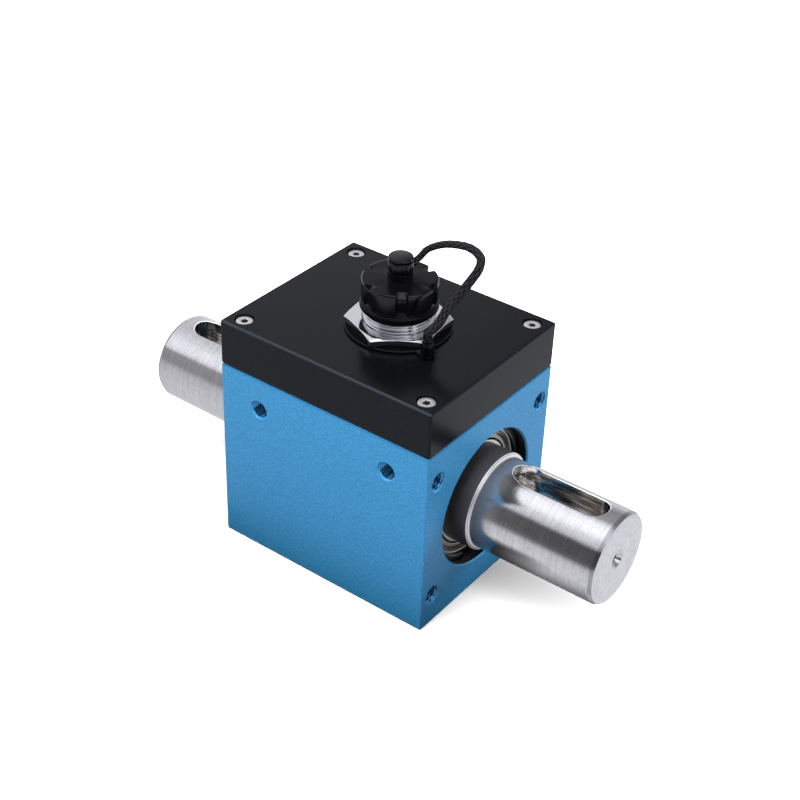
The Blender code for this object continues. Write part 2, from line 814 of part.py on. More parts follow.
def build_bearing(end, side, axle):
    """A deep groove ball bearing: two rings, a cage of balls and a shield on the outside."""
    inner_bore = SHAFT_RADIUS + FIT
    inner_land = INNER_RING_LAND / 2
    outer_land = OUTER_RING_LAND / 2
    outside = BEARING_OUTER / 2
    middle = (BEARING_FACE + BEARING_BACK) / 2

    inner_section = [
        (inner_land, BEARING_FACE),
        *raceway(inner_land, True),
        (inner_land, BEARING_BACK),
        (inner_bore, BEARING_BACK),
        (inner_bore, BEARING_FACE),
    ]
    inner_ring = turned("bearing_inner_ring_" + end, inner_section, BEARING_STEEL, closed=True)
    along_shaft(inner_ring, side, 0.0, axle)

    step = outer_land + SHIELD_STEP
    step_depth = SHIELD_THICKNESS + 2 * FIT
    outer_section = [
        (outside, BEARING_FACE),
        (outside, BEARING_BACK),
        (outer_land, BEARING_BACK),
        *reversed(raceway(outer_land, False)),
        (outer_land, BEARING_FACE - step_depth),
        (step, BEARING_FACE - step_depth),
        (step, BEARING_FACE),
    ]
    outer_ring = turned("bearing_outer_ring_" + end, outer_section, BEARING_STEEL, closed=True)
    along_shaft(outer_ring, side)

    high = BEARING_FACE - FIT
    low = high - SHIELD_THICKNESS
    shield_inner = inner_land + GAP
    shield = ring("bearing_shield_" + end, step - 2 * FIT, shield_inner, low, high, SHIELD_STEEL)
    along_shaft(shield, side)

    pitch = (INNER_RING_LAND + OUTER_RING_LAND) / 4
    band = CAGE_THICKNESS / 2
    low = middle - CAGE_WIDTH / 2
    high = middle + CAGE_WIDTH / 2
    facets = 2 * BALL_COUNT
    cage = ring("ball_cage_" + end, pitch + band, pitch - band, low, high, BEARING_STEEL, facets)
    along_shaft(cage, side)
    balls = build_balls("balls_" + end, pitch)
    along_shaft(balls, side, side * middle)
    add(cage, balls)


def build_balls(name, pitch):
    """The balls of one bearing as a circle of small spheres about their own Z."""
    mesh = bpy.data.meshes.new(name)
    shape = bmesh.new()
    for index in range(BALL_COUNT):
        angle = math.tau * (index + 0.25) / BALL_COUNT
        spot = Matrix.Translation((pitch * math.cos(angle), pitch * math.sin(angle), 0.0))
        bmesh.ops.create_uvsphere(
            shape, u_segments=6, v_segments=5, radius=BALL_DIAMETER / 2, matrix=spot
        )
    shape.to_mesh(mesh)
    shape.free()
    return place(mesh, name, None, CUTTERS)


def build_retaining_ring(name, side):
    """A spring ring in the groove outside the bearing, open at the bottom."""
    low = BEARING_FACE + GAP
    high = low + RETAINING_RING_THICKNESS
    outer = BORE_MOUTH / 2 + RETAINING_RING_BITE - GAP
    inner = outer - RETAINING_RING_LAND
    spring = ring(name, outer, inner, low, high, BEARING_STEEL)
    along_shaft(spring, side)
    opening = box(
        name + "_opening_cut",
        (4 * RETAINING_RING_THICKNESS, RETAINING_RING_GAP, BORE_MOUTH / 2),
        (side * (low + high) / 2, 0.0, AXIS_HEIGHT - BORE_MOUTH / 2),
        None,
        CUTTERS,
    )
    cut(spring, opening)
    return spring


def build_rotor_core(name, coil_name, back, axle):
    """The turning half of a transformer: a ring core, grooved on its outside, with its coil."""
    outer = CORE_SPLIT_DIAMETER / 2 - CORE_AIR_GAP / 2
    inner = SEAT_DIAMETER / 2 + GAP
    front = back + CORE_WIDTH
    slot_low = back + (CORE_WIDTH - COIL_WIDTH) / 2
    slot_high = slot_low + COIL_WIDTH
    floor = outer - COIL_DEPTH
    section = [
        (outer, front),
        (outer, slot_high),
        (floor, slot_high),
        (floor, slot_low),
        (outer, slot_low),
        (outer, back),
        (inner, back),
        (inner, front),
    ]
    core = turned(name, section, FERRITE, INNER_STEPS, True)
    along_shaft(core, 1, 0.0, axle)
    coil = ring(
        coil_name,
        outer - GAP,
        floor + FIT,
        slot_low + FIT,
        slot_high - FIT,
        COPPER,
        INNER_STEPS,
    )
    along_shaft(coil, 1, 0.0, axle)


def build_stator_core(name, coil_name, back):
    """The standing half of a transformer: a ring core in the chamber, grooved on its inside."""
    outer = CHAMBER_RADIUS - GAP
    inner = CORE_SPLIT_DIAMETER / 2 + CORE_AIR_GAP / 2
    front = back + CORE_WIDTH
    slot_low = back + (CORE_WIDTH - COIL_WIDTH) / 2
    slot_high = slot_low + COIL_WIDTH
    floor = inner + COIL_DEPTH
    section = [
        (outer, front),
        (outer, back),
        (inner, back),
        (inner, slot_low),
        (floor, slot_low),
        (floor, slot_high),
        (inner, slot_high),
        (inner, front),
    ]
    core = turned(name, section, FERRITE, INNER_STEPS, True)
    along_shaft(core)
    coil = ring(
        coil_name,
        floor - GAP,
        inner + GAP,
        slot_low + FIT,
        slot_high - FIT,
        COPPER,
        INNER_STEPS,
    )
    along_shaft(coil)


def build_toothed_disc(axle):
    """A speed disc: each tooth takes half of its pitch and has slightly sloped flanks."""
    tip = DISC_DIAMETER / 2
    root = tip - TOOTH_DEPTH
    pitch = math.tau / DISC_TEETH
    outline = []
    for index in range(DISC_TEETH):
        start = index * pitch
        for radius, share in ((root, 0.0), (tip, 0.05), (tip, 0.45), (root, 0.5)):
            angle = start + share * pitch
            outline.append((radius * math.cos(angle), radius * math.sin(angle)))
    hole = circle(SEAT_DIAMETER / 2 + GAP, INNER_STEPS)
    disc = plate("toothed_disc", outline, DISC_WIDTH, STEEL, [hole])
    return along_shaft(disc, 1, (DISC_BACK + DISC_FRONT) / 2, axle)


def build_speed_pickup():
    """A flanged magnetic pickup, let down from the pocket to the disc's teeth."""
    tip = AXIS_HEIGHT + DISC_DIAMETER / 2 + PICKUP_AIR_GAP
    seat = POCKET_FLOOR + FIT
    outline = [
        (0.0, seat + PICKUP_FLANGE_HEIGHT),
        (PICKUP_FLANGE / 2, seat + PICKUP_FLANGE_HEIGHT),
        (PICKUP_FLANGE / 2, seat),
        (PICKUP_DIAMETER / 2, seat),
        (PICKUP_DIAMETER / 2, tip),
        (0.0, tip),
    ]
    pickup = turned("speed_pickup", outline, BLACK_PLASTIC, SMALL_STEPS)
    pickup.location = (PICKUP_X, 0.0, 0.0)
    return pickup


def build_gauge(index, axle):
    """A round foil gauge bonded on the neck: a disc-shaped piece of a thin tube."""
    neck = NECK_DIAMETER / 2
    low = neck + FIT
    high = low + GAUGE_THICKNESS
    half = GAUGE_DIAMETER / 2 + GAP
    name = "strain_gauge_%d" % index
    foil = ring(name, high, low, -half, half, GAUGE_FOIL, AXIS_STEPS)
    along_shaft(foil, 1, (NECK_FRONT + NECK_BACK) / 2, axle)
    punch = rod_cutter(name + "_outline", GAUGE_DIAMETER / 2, 0.0, neck + GAUGE_DIAMETER)
    punch.parent = axle
    punch.location = ((NECK_FRONT + NECK_BACK) / 2, 0.0, 0.0)
    punch.rotation_euler = (math.tau * (index - 0.5) / GAUGE_COUNT, 0.0, 0.0)
    keep_inside(foil, punch)
    return foil


def build_rotor_board(axle):
    front = ROTOR_BOARD_FRONT
    board = ring(
        "rotor_board",
        ROTOR_BOARD_DIAMETER / 2,
        SEAT_DIAMETER / 2 + GAP,
        front - ROTOR_BOARD_THICKNESS,
        front,
        BOARD_GREEN,
        INNER_STEPS,
    )
    return along_shaft(board, 1, 0.0, axle)


def build_main_board():
    """The board on its four bosses, with its screws and its two chips."""
    clearance = BOARD_SCREW_THREAD / 2 + GAP
    reach_x = BOARD_LENGTH / 2 - BOARD_SCREW_INSET
    reach_y = BOARD_WIDTH / 2 - BOARD_SCREW_INSET
    holes = [
        [(sx * reach_x + x, sy * reach_y + y) for x, y in circle(clearance, TINY_STEPS)]
        for sx in (-1, 1)
        for sy in (-1, 1)
    ]
    outline = rounded_rectangle(BOARD_LENGTH, BOARD_WIDTH, BOARD_SCREW_INSET, 3)
    board = plate("main_board", outline, BOARD_THICKNESS, BOARD_GREEN, holes)
    board.location = (BOARD_X, 0.0, (BOARD_BOTTOM + BOARD_TOP) / 2)

    seat = BOARD_TOP + FIT
    head = BOARD_SCREW_HEAD / 2
    shank = BOARD_SCREW_THREAD / 2
    profile = [
        (0.0, seat + BOARD_SCREW_HEAD_HEIGHT),
        (head - BOARD_SCREW_HEAD_HEIGHT / 2, seat + BOARD_SCREW_HEAD_HEIGHT),
        (head, seat + BOARD_SCREW_HEAD_HEIGHT / 2),
        (head, seat),
        (shank, seat),
        (shank, POCKET_FLOOR),
        (0.0, POCKET_FLOOR),
    ]
    for index, (x, y) in enumerate(board_screw_places(), 1):
        screw = turned("board_screw_%d" % index, profile, STAINLESS, TINY_STEPS)
        screw.location = (x, y, 0.0)

    chip_z = BOARD_TOP + FIT + CHIP_HEIGHT / 2
    box(
        "processor_chip",
        (PROCESSOR_SIZE, PROCESSOR_SIZE, CHIP_HEIGHT),
        (BOARD_X + BOARD_LENGTH / 6, BOARD_WIDTH / 5, chip_z),
        BLACK_PLASTIC,
    )
    box(
        "amplifier_chip",
        (AMPLIFIER_LENGTH, AMPLIFIER_WIDTH, CHIP_HEIGHT),
        (BOARD_X + BOARD_LENGTH / 6, -BOARD_WIDTH / 5, chip_z),
        BLACK_PLASTIC,
    )


def smooth_route(points, spacing):
    """Points at even spacing along a Catmull-Rom curve through the given points."""
    knots = [Vector(point) for point in points]
    knots = [2 * knots[0] - knots[1], *knots, 2 * knots[-1] - knots[-2]]
    fine = []
    for a, b, c, d in zip(knots, knots[1:], knots[2:], knots[3:]):
        for step in range(20):
            t = step / 20
            fine.append(
                0.5
                * (
                    2 * b
                    + (c - a) * t
                    + (2 * a - 5 * b + 4 * c - d) * t**2
                    + (3 * b - a - 3 * c + d) * t**3
                )
            )
    fine.append(knots[-2])
    lengths = [0.0]
    for a, b in zip(fine, fine[1:]):
        lengths.append(lengths[-1] + (b - a).length)
    count = max(2, round(lengths[-1] / spacing))
    route = []
    here = 0
    for index in range(count + 1):
        target = lengths[-1] * index / count
        while here < len(fine) - 2 and lengths[here + 1] < target:
            here += 1
        share = (target - lengths[here]) / max(lengths[here + 1] - lengths[here], 1e-9)
        route.append(fine[here].lerp(fine[here + 1], min(max(share, 0.0), 1.0)))
    return route


def tube(name, points, diameter, skin):
    """A round cord along a row of points, with flat ends."""
    curve = bpy.data.curves.new(name, "CURVE")
    curve.dimensions = "3D"
    curve.bevel_depth = diameter / 2
    curve.bevel_resolution = 2
    curve.use_fill_caps = True
    spline = curve.splines.new("POLY")
    spline.points.add(len(points) - 1)
    for point, spot in zip(spline.points, points):
        point.co = (*spot, 1.0)
    return curve_to_mesh(name, curve, skin)


def build_wire_bundle():
    """The leads from the board's solder pads up to the tails of the connector's contacts."""
    start = Vector((CONNECTOR_X, 0.0, BOARD_TOP + GAP))
    end = Vector((CONNECTOR_X, 0.0, CONTACT_BOTTOM - GAP))
    straight = Vector((0.0, 0.0, WIRE_DIAMETER / 2))
    middle = start.lerp(end, 0.5) - Vector((WIRE_BOW, 0.0, 0.0))
    route = [start, *smooth_route([start + straight, middle, end - straight], WIRE_DIAMETER / 2), end]
    return tube("wire_bundle", route, WIRE_DIAMETER, COPPER)


def at_connector(item):
    item.location = (CONNECTOR_X, 0.0, 0.0)
    return item


def build_connector_shell():
    """The threaded receptacle: flange under the cover, mounting thread and coupling thread above."""
    mount = SHELL_THREAD / 2
    coupling = COUPLING_THREAD / 2
    bore = SOCKET_DIAMETER / 2
    lip = bore - SOCKET_LIP
    shoulder = COVER_TOP + SHELL_SHOULDER_HEIGHT
    lip_bottom = INSERT_TOP + FIT
    lip_top = lip_bottom + SOCKET_LIP
    section = [
        (coupling, SHELL_TOP),
        (coupling, shoulder),
        (mount, shoulder),
        (mount, FLANGE_TOP),
        (SHELL_FLANGE / 2, FLANGE_TOP),
        (SHELL_FLANGE / 2, FLANGE_BOTTOM),
        (coupling, FLANGE_BOTTOM),
        (coupling, SHELL_BOTTOM),
        (bore, SHELL_BOTTOM),
        (bore, lip_bottom),
        (lip, lip_bottom),
        (lip, lip_top),
        (bore, lip_top),
        (bore, SHELL_TOP),
    ]
    shell = at_connector(turned("connector_shell", section, NICKEL, CAP_STEPS, True))
    key_height = SHELL_TOP - lip_top - SOCKET_LIP
    key = box(
        "polarising_key",
        (KEY_WIDTH, 2 * KEY_PROUD, key_height),
        (CONNECTOR_X, bore, lip_top + key_height / 2),
        None,
        CUTTERS,
    )
    add(shell, key)
    return shell


def contact_places():
    radius = CONTACT_CIRCLE / 2
    angles = [math.tau * (index + 0.5) / CONTACT_COUNT for index in range(CONTACT_COUNT)]
    return [(radius * math.cos(angle), radius * math.sin(angle)) for angle in angles]


def build_insert():
    """The insulator in the receptacle, drilled for its contacts."""
    radius = SOCKET_DIAMETER / 2 - GAP
    holes = []
    for x, y in contact_places():
        hole = circle(CONTACT_DIAMETER / 2 + GAP, TINY_STEPS)
        holes.append([(x + dx, y + dy) for dx, dy in hole])
    height = INSERT_TOP - SHELL_BOTTOM
    insert = plate("connector_insert", circle(radius, INNER_STEPS), height, BLACK_PLASTIC, holes)
    insert.location = (CONNECTOR_X, 0.0, SHELL_BOTTOM + height / 2)
    return insert


def build_contacts():
    radius = CONTACT_DIAMETER / 2
    top = COVER_TOP + CONTACT_HEIGHT
    outline = [
        (0.0, top),
        (radius / 2, top),
        (radius, top - radius),
        (radius, CONTACT_BOTTOM),
        (0.0, CONTACT_BOTTOM),
    ]
    for index, (x, y) in enumerate(contact_places(), 1):
        contact = turned("contact_pin_%d" % index, outline, GOLD, TINY_STEPS)
        contact.location = (CONNECTOR_X + x, y, 0.0)


def build_panel_seal():
    inner = SHELL_THREAD / 2 + GAP
    outer = SHELL_FLANGE / 2
    seal = ring("panel_seal", outer, inner, SEAL_TOP - SEAL_THICKNESS, SEAL_TOP, RUBBER, INNER_STEPS)
    return at_connector(seal)


def build_nut():
    """A thin hexagon nut, its corners turned down on top."""
    bottom = RING_TOP + FIT
    top = COVER_TOP + NUT_TOP
    bore = SHELL_THREAD / 2 + GAP
    nut = plate(
        "connector_nut",
        hexagon(NUT_ACROSS_FLATS, NUT_TURN),
        top - bottom,
        NICKEL,
        [circle(bore, CAP_STEPS)],
    )
    nut.location = (CONNECTOR_X, 0.0, (top + bottom) / 2)
    flat = NUT_ACROSS_FLATS / 2
    corner = NUT_ACROSS_FLATS / math.sqrt(3.0)
    outline = [
        (0.0, top + GAP),
        (flat, top + GAP),
        (flat, top),
        (corner + GAP, top - NUT_CORNER_SLOPE * (corner + GAP - flat)),
        (corner + GAP, bottom - GAP),
        (0.0, bottom - GAP),
    ]
    turned_down = turned("nut_turned_down", outline, None, CAP_STEPS, collection=CUTTERS)
    at_connector(turned_down)
    keep_inside(nut, turned_down)
    return nut


def build_lanyard_ring():
    """A flat ring under the nut, with a tab and the ferrule that grips the cord."""
    bore = SHELL_THREAD / 2 + GAP
    blank = ring(
        "lanyard_ring",
        LANYARD_RING_DIAMETER / 2,
        bore,
        RING_BOTTOM,
        RING_TOP,
        BLACK_PLASTIC,
        CAP_STEPS,
    )
    at_connector(blank)
    inner_end = LANYARD_RING_DIAMETER / 2 - LANYARD_TAB_WIDTH
    outer_end = LANYARD_TAB_REACH + LANYARD_TAB_WIDTH / 2
    middle = (inner_end + outer_end) / 2
    tab = plate(
        "lanyard_tab",
        slot_outline(outer_end - inner_end, LANYARD_TAB_WIDTH),
        LANYARD_RING_THICKNESS,
        None,
        collection=CUTTERS,
    )
    tab.location = (
        CONNECTOR_X + middle * math.cos(LANYARD_TAB_ANGLE),
        middle * math.sin(LANYARD_TAB_ANGLE),
        (RING_BOTTOM + RING_TOP) / 2,
    )
    tab.rotation_euler = (0.0, 0.0, LANYARD_TAB_ANGLE)
    add(blank, tab)
    ferrule = rod_cutter(
        "lanyard_ferrule",
        FERRULE_DIAMETER / 2,
        (RING_BOTTOM + RING_TOP) / 2,
        COVER_TOP + FERRULE_TOP,
        TINY_STEPS,
    )
    ferrule.location = ferrule_place()
    add(blank, ferrule)
    return blank


def ferrule_place():
    return (
        CONNECTOR_X + LANYARD_TAB_REACH * math.cos(LANYARD_TAB_ANGLE),
        LANYARD_TAB_REACH * math.sin(LANYARD_TAB_ANGLE),
        0.0,
    )


def eye_lug_end():
    return Vector(
        (
            CONNECTOR_X + EYE_LUG_REACH * math.cos(EYE_LUG_ANGLE),
            EYE_LUG_REACH * math.sin(EYE_LUG_ANGLE),
            EYE_MIDDLE,
        )
    )


def build_lanyard_cord():
    """The cord from the eye's lug, over its loop, down to the ferrule."""
    rise = Vector((math.cos(EYE_LUG_ANGLE), math.sin(EYE_LUG_ANGLE), 1.0)).normalized()
    start = eye_lug_end() + rise * (CORD_DIAMETER / 2 + GAP)
    end = Vector(ferrule_place())
    end.z = COVER_TOP + FERRULE_TOP + GAP
    corner = Vector((CONNECTOR_X, 0.0, COVER_TOP))
    route = [corner + Vector(point) * MM for point in CORD_ROUTE]
    above_end = end + Vector((0.0, 0.0, CORD_DIAMETER))
    points = smooth_route([start, *route, above_end, end], CORD_POINT_SPACING)
    return tube("lanyard_cord", points, CORD_DIAMETER, CORD_BLACK)


def build_lanyard_eye(cap_lift):
    """A ring that turns freely on the stub's neck, with the lug that holds the cord."""
    outer = EYE_DIAMETER / 2
    inner = STUB_NECK / 2 + GAP
    eye = ring("lanyard_eye", outer, inner, 0.0, EYE_TOP - EYE_BOTTOM, BLACK_PLASTIC, INNER_STEPS)
    eye.parent = cap_lift
    eye.location = (0.0, 0.0, EYE_BOTTOM - COVER_TOP)
    wall_middle = (outer + inner) / 2
    length = EYE_LUG_REACH - wall_middle
    lug = rod_cutter("lanyard_lug", EYE_LUG_DIAMETER / 2, 0.0, length, TINY_STEPS)
    lug.parent = cap_lift
    lug.location = (
        wall_middle * math.cos(EYE_LUG_ANGLE),
        wall_middle * math.sin(EYE_LUG_ANGLE),
        EYE_MIDDLE - COVER_TOP,
    )
    lug.rotation_euler = (0.0, math.pi / 2, EYE_LUG_ANGLE)
    add(eye, lug)
    return eye


def build_protective_cap(cap_turn):
    """The moulded screw cap: notched skirt, roof and a necked stub for the lanyard's eye."""
    skirt = CAP_DIAMETER / 2
    rim = CAP_RIM_DIAMETER / 2
    bore = COUPLING_THREAD / 2 + GAP
    ceiling = CAP_TOP - CAP_ROOF
    stub = STUB_DIAMETER / 2
    edge = CAP_ROOF / 2
    outline = [
        (0.0, STUB_TOP),
        (stub - edge / 2, STUB_TOP),
        (stub, STUB_TOP - edge / 2),
        (stub, STUB_NECK_TOP),
        (STUB_NECK / 2, STUB_NECK_TOP),
        (STUB_NECK / 2, STUB_NECK_BOTTOM),
        (stub, STUB_NECK_BOTTOM),
        (stub, CAP_TOP),
        (skirt - edge, CAP_TOP),
        (skirt, CAP_TOP - edge),
        (skirt, CAP_BOTTOM + CAP_RIM_HEIGHT),
        (rim, CAP_BOTTOM + CAP_RIM_HEIGHT - edge / 2),
        (rim, CAP_BOTTOM),
        (bore, CAP_BOTTOM),
        (bore, ceiling),
        (0.0, ceiling),
    ]
    cap = turned("protective_cap", outline, BLACK_PLASTIC, CAP_STEPS)
    cap.parent = cap_turn
    for index in range(CAP_NOTCHES):
        angle = math.tau * index / CAP_NOTCHES
        bottom = CAP_BOTTOM + CAP_RIM_HEIGHT
        notch = box(
            "cap_notch_cut",
            (4 * CAP_NOTCH_DEPTH, CAP_NOTCH_WIDTH, CAP_TOP - bottom + CAP_ROOF),
            (0.0, 0.0, 0.0),
            None,
            CUTTERS,
        )
        notch.parent = cap_turn
        reach = skirt + CAP_NOTCH_DEPTH
        notch.location = (
            reach * math.cos(angle),
            reach * math.sin(angle),
            (CAP_TOP + CAP_ROOF + bottom) / 2,
        )
        notch.rotation_euler = (0.0, 0.0, angle)
        cut(cap, notch)
    return cap


def build_cap_seal(cap_turn):
    """The flat seal under the cap's roof, that closes on the receptacle's rim."""
    top = CAP_TOP - CAP_ROOF - FIT
    bottom = top - CAP_SEAL_THICKNESS
    outer = COUPLING_THREAD / 2
    inner = SOCKET_DIAMETER / 2
    seal = ring("cap_seal", outer, inner, bottom, top, RUBBER, INNER_STEPS)
    seal.parent = cap_turn
    return seal


def build_cap_axes():
    """The empties that lift the lanyard's eye and, inside it, turn the cap."""
    lift = bpy.data.objects.new("cap_lift", None)
    lift.location = (CONNECTOR_X, 0.0, COVER_TOP)
    PARTS.objects.link(lift)
    turn = bpy.data.objects.new("cap_turn", None)
    turn.parent = lift
    turn.rotation_euler = (0.0, 0.0, CAP_REST_TURN)
    PARTS.objects.link(turn)
    return lift, turn


def build_all():
    axle = build_shaft_axle()
    build_housing()
    build_cover()
    build_gasket()
    for index, (x, y) in enumerate(cover_screw_places(), 1):
        build_cover_screw(index, x, y)
    build_shaft(axle)
    for end, side in (("front", 1), ("rear", -1)):
        build_collar("shaft_collar_" + end, side, axle)
        build_bearing(end, side, axle)
        build_retaining_ring("retaining_ring_" + end, side)
    build_rotor_core("rotor_core_power", "rotor_coil_power", POWER_CORE_BACK, axle)
    build_rotor_core("rotor_core_signal", "rotor_coil_signal", SIGNAL_CORE_BACK, axle)
    build_stator_core("stator_core_power", "stator_coil_power", POWER_CORE_BACK)
    build_stator_core("stator_core_signal", "stator_coil_signal", SIGNAL_CORE_BACK)
    build_toothed_disc(axle)
    build_speed_pickup()
    for index in range(1, GAUGE_COUNT + 1):
        build_gauge(index, axle)
    build_rotor_board(axle)
    build_main_board()
    build_wire_bundle()
    build_connector_shell()
    build_insert()
    build_contacts()
    build_panel_seal()
    build_lanyard_ring()
    build_nut()
    cap_lift, cap_turn = build_cap_axes()
    build_lanyard_eye(cap_lift)
    build_protective_cap(cap_turn)
    build_cap_seal(cap_turn)
    build_lanyard_cord()
    bpy.context.view_layer.update()


build_all()
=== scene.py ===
# %% [markdown]
# # A rotary torque sensor, dressed for its photograph
# The sensor is a blue anodised block with a black cover. A steel shaft with a keyway runs through it
# on ball bearings, and a round screw connector stands on the cover under a black cap on a cord.
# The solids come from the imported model. This lesson puts fine surfaces and finishes over them.
# All sizes below are written in millimetres and turned into metres when a mesh is made.

import math

import bmesh
import bpy
import numpy as np
from mathutils import Matrix, Vector


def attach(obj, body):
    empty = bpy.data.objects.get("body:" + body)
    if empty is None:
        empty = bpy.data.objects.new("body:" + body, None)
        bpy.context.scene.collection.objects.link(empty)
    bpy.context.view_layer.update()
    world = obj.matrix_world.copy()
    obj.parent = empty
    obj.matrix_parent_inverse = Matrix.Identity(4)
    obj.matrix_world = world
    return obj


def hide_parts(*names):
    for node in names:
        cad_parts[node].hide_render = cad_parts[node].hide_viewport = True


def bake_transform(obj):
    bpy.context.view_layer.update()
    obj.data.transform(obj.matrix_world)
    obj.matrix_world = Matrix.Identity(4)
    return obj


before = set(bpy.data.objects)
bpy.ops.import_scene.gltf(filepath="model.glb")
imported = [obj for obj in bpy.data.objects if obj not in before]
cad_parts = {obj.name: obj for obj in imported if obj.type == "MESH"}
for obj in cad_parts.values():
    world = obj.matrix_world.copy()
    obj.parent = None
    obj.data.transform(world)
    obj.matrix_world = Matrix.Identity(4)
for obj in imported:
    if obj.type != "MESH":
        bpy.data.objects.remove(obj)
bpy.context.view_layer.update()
MM = 0.001

# %% [markdown]
# ## The camera
# Nine corners of the block, read off the photograph, fix where the camera stood: 36 degrees round
# from the block's long side, 34 degrees up, and rolled by two. A camera's matrix is made of its own
# right, up and backward directions, so the roll mixes the first two.

# %% Camera
AZIMUTH, ELEVATION, ROLL = np.radians([35.7955, 34.3595, 2.2714])
LENGTH_UNIT = 65.9 * MM
AIM = np.array([0.6331, -0.7849, 1.3399]) * LENGTH_UNIT
DISTANCE = 4.9854 * LENGTH_UNIT


def add(name, data):
    """A new object in the scene."""
    made = bpy.data.objects.new(name, data)
    bpy.context.scene.collection.objects.link(made)
    return made


back = np.array([
    np.sin(AZIMUTH) * np.cos(ELEVATION),
    -np.cos(AZIMUTH) * np.cos(ELEVATION),
    np.sin(ELEVATION),
])
level_right = np.cross(-back, (0, 0, 1))
level_right /= np.linalg.norm(level_right)
level_up = np.cross(back, level_right)
right = np.cos(ROLL) * level_right + np.sin(ROLL) * level_up
up = np.cos(ROLL) * level_up - np.sin(ROLL) * level_right
stand = AIM + DISTANCE * back

camera = add("camera", bpy.data.cameras.new("camera"))
camera.data.sensor_width = 36.0
camera.data.lens = 70.335
camera.data.clip_start, camera.data.clip_end = 0.01, 20.0
camera.matrix_world = Matrix([*np.column_stack([right, up, back, stand]).tolist(), (0, 0, 0, 1)])
bpy.context.scene.camera = camera
print("camera stands at", (stand / MM).round(1), "mm")

# %% [markdown]
# ## Surfaces from arrays
# Nearly everything here is turned, drilled or moulded round an axis. Such a shape is a grid: its
# rows follow a profile, its columns go round. The helpers below make the points of a whole grid at
# once, the faces between them, and a mesh from both.

# %% From a grid to a mesh
def grid_faces(rows, columns, close_rows=False, close_columns=True):
    """Quads of a grid. Point (i, j) is number i * columns + j, and each quad joins the points
    (i, j), (i, j + 1), (i + 1, j + 1) and (i + 1, j), counted round where a side is closed."""
    i = np.arange(rows if close_rows else rows - 1)
    j = np.arange(columns if close_columns else columns - 1)
    i, j = np.meshgrid(i, j, indexing="ij")
    next_i, next_j = (i + 1) % rows, (j + 1) % columns
    corners = (i * columns + j, i * columns + next_j, next_i * columns + next_j, next_i * columns + j)
    return np.stack(corners, -1).reshape(-1, 4)


MERGE_WITHIN, SLIVER = 0.0000015, 0.0000005


def weld(mesh, turn_outwards=False):
    """Merge points that coincide and drop faces without area. Where asked, turn the faces outwards."""
    shape = bmesh.new()
    shape.from_mesh(mesh)
    bmesh.ops.remove_doubles(shape, verts=shape.verts, dist=MERGE_WITHIN)
    bmesh.ops.dissolve_degenerate(shape, edges=shape.edges, dist=SLIVER)
    if turn_outwards:
        bmesh.ops.recalc_face_normals(shape, faces=shape.faces)
    shape.to_mesh(mesh)
    shape.free()


def put_mesh(name, points, faces, face_map=None):
    """A new object from points in millimetres and quads. Points that coincide are merged, so poles
    and seams close, and then the faces are turned outwards. A map gives two numbers for each corner
    of each quad and becomes the UV map called along."""
    mesh = bpy.data.meshes.new(name)
    mesh.from_pydata((np.asarray(points).reshape(-1, 3) * MM).tolist(), [], np.asarray(faces).tolist())
    if face_map is not None:
        mesh.uv_layers.new(name="along").data.foreach_set("uv", face_map.astype(np.float32).ravel())
    weld(mesh, turn_outwards=True)
    return add(name, mesh)


def soften(corners, radius, steps=4, closed=False):
    """A profile with its corners rounded. Each corner c becomes the curve
    (1 - t)^2 a + 2 t (1 - t) c + t^2 b, where a and b lie a radius before and after it."""
    corners = np.asarray(corners, float)
    radius = np.broadcast_to(np.asarray(radius, float), len(corners))[:, None]
    before = np.roll(corners, 1, 0) - corners
    after = np.roll(corners, -1, 0) - corners
    reach_before = np.linalg.norm(before, axis=1, keepdims=True)
    reach_after = np.linalg.norm(after, axis=1, keepdims=True)
    a = corners + before * np.minimum(radius / reach_before, 0.48)
    b = corners + after * np.minimum(radius / reach_after, 0.48)
    t = np.linspace(0, 1, steps + 1)[None, :, None]
    curve = (1 - t) ** 2 * a[:, None] + 2 * t * (1 - t) * corners[:, None] + t ** 2 * b[:, None]
    if closed:
        return curve.reshape(-1, 2)
    return np.concatenate([corners[:1], curve[1:-1].reshape(-1, 2), corners[-1:]])


# %% [markdown]
# ## Turned surfaces
# A lathe part is a profile of (height along the axis, radius) turned a full circle. The sensor has
# two axes: the shaft's, level along X, and the connector's, upright.

# %% Turning a profile
SHAFT_LINE = np.array([0.0, 0.0, 27.0])
CONNECTOR_LINE = np.array([3.0, 0.0, 0.0])


def full_turn(steps):
    """Evenly spaced angles of a whole turn."""
    return np.arange(steps) * math.tau / steps


def circle(radius, steps=24):
    """An outline of radius * (cos, sin)."""
    return radius * np.column_stack([np.cos(full_turn(steps)), np.sin(full_turn(steps))])


def around(height, radius, angle, axis):
    """Points at a height along an axis and a radius from it: the two cross directions are
    radius * cos(angle) and radius * sin(angle). Columns and rows are spread over the grid. The axis
    is x for the shaft's, z for the connector's, or own for one through the origin."""
    height, across, over = np.broadcast_arrays(height, radius * np.cos(angle), radius * np.sin(angle))
    if axis == "x":
        return np.stack([height, across, over], -1) + SHAFT_LINE
    return np.stack([across, over, height], -1) + (CONNECTOR_LINE if axis == "z" else 0.0)


def turned(name, profile, axis, steps=96, closed=True, mirror=False):
    """A profile of (height, radius) turned about an axis. A closed profile is a ring's section, and
    an open one starts and ends on the axis. Mirrored, its heights change sign."""
    height, radius = np.asarray(profile, float).T[:, :, None]
    points = around(-height if mirror else height, radius, full_turn(steps), axis)
    return put_mesh(name, points, grid_faces(len(height), steps, closed))


def smooth(piece, sharp=32.0):
    """Round shading everywhere but over edges sharper than the angle, in degrees."""
    piece.data.shade_smooth()
    piece.data.set_sharp_from_angle(angle=math.radians(sharp))
    return piece


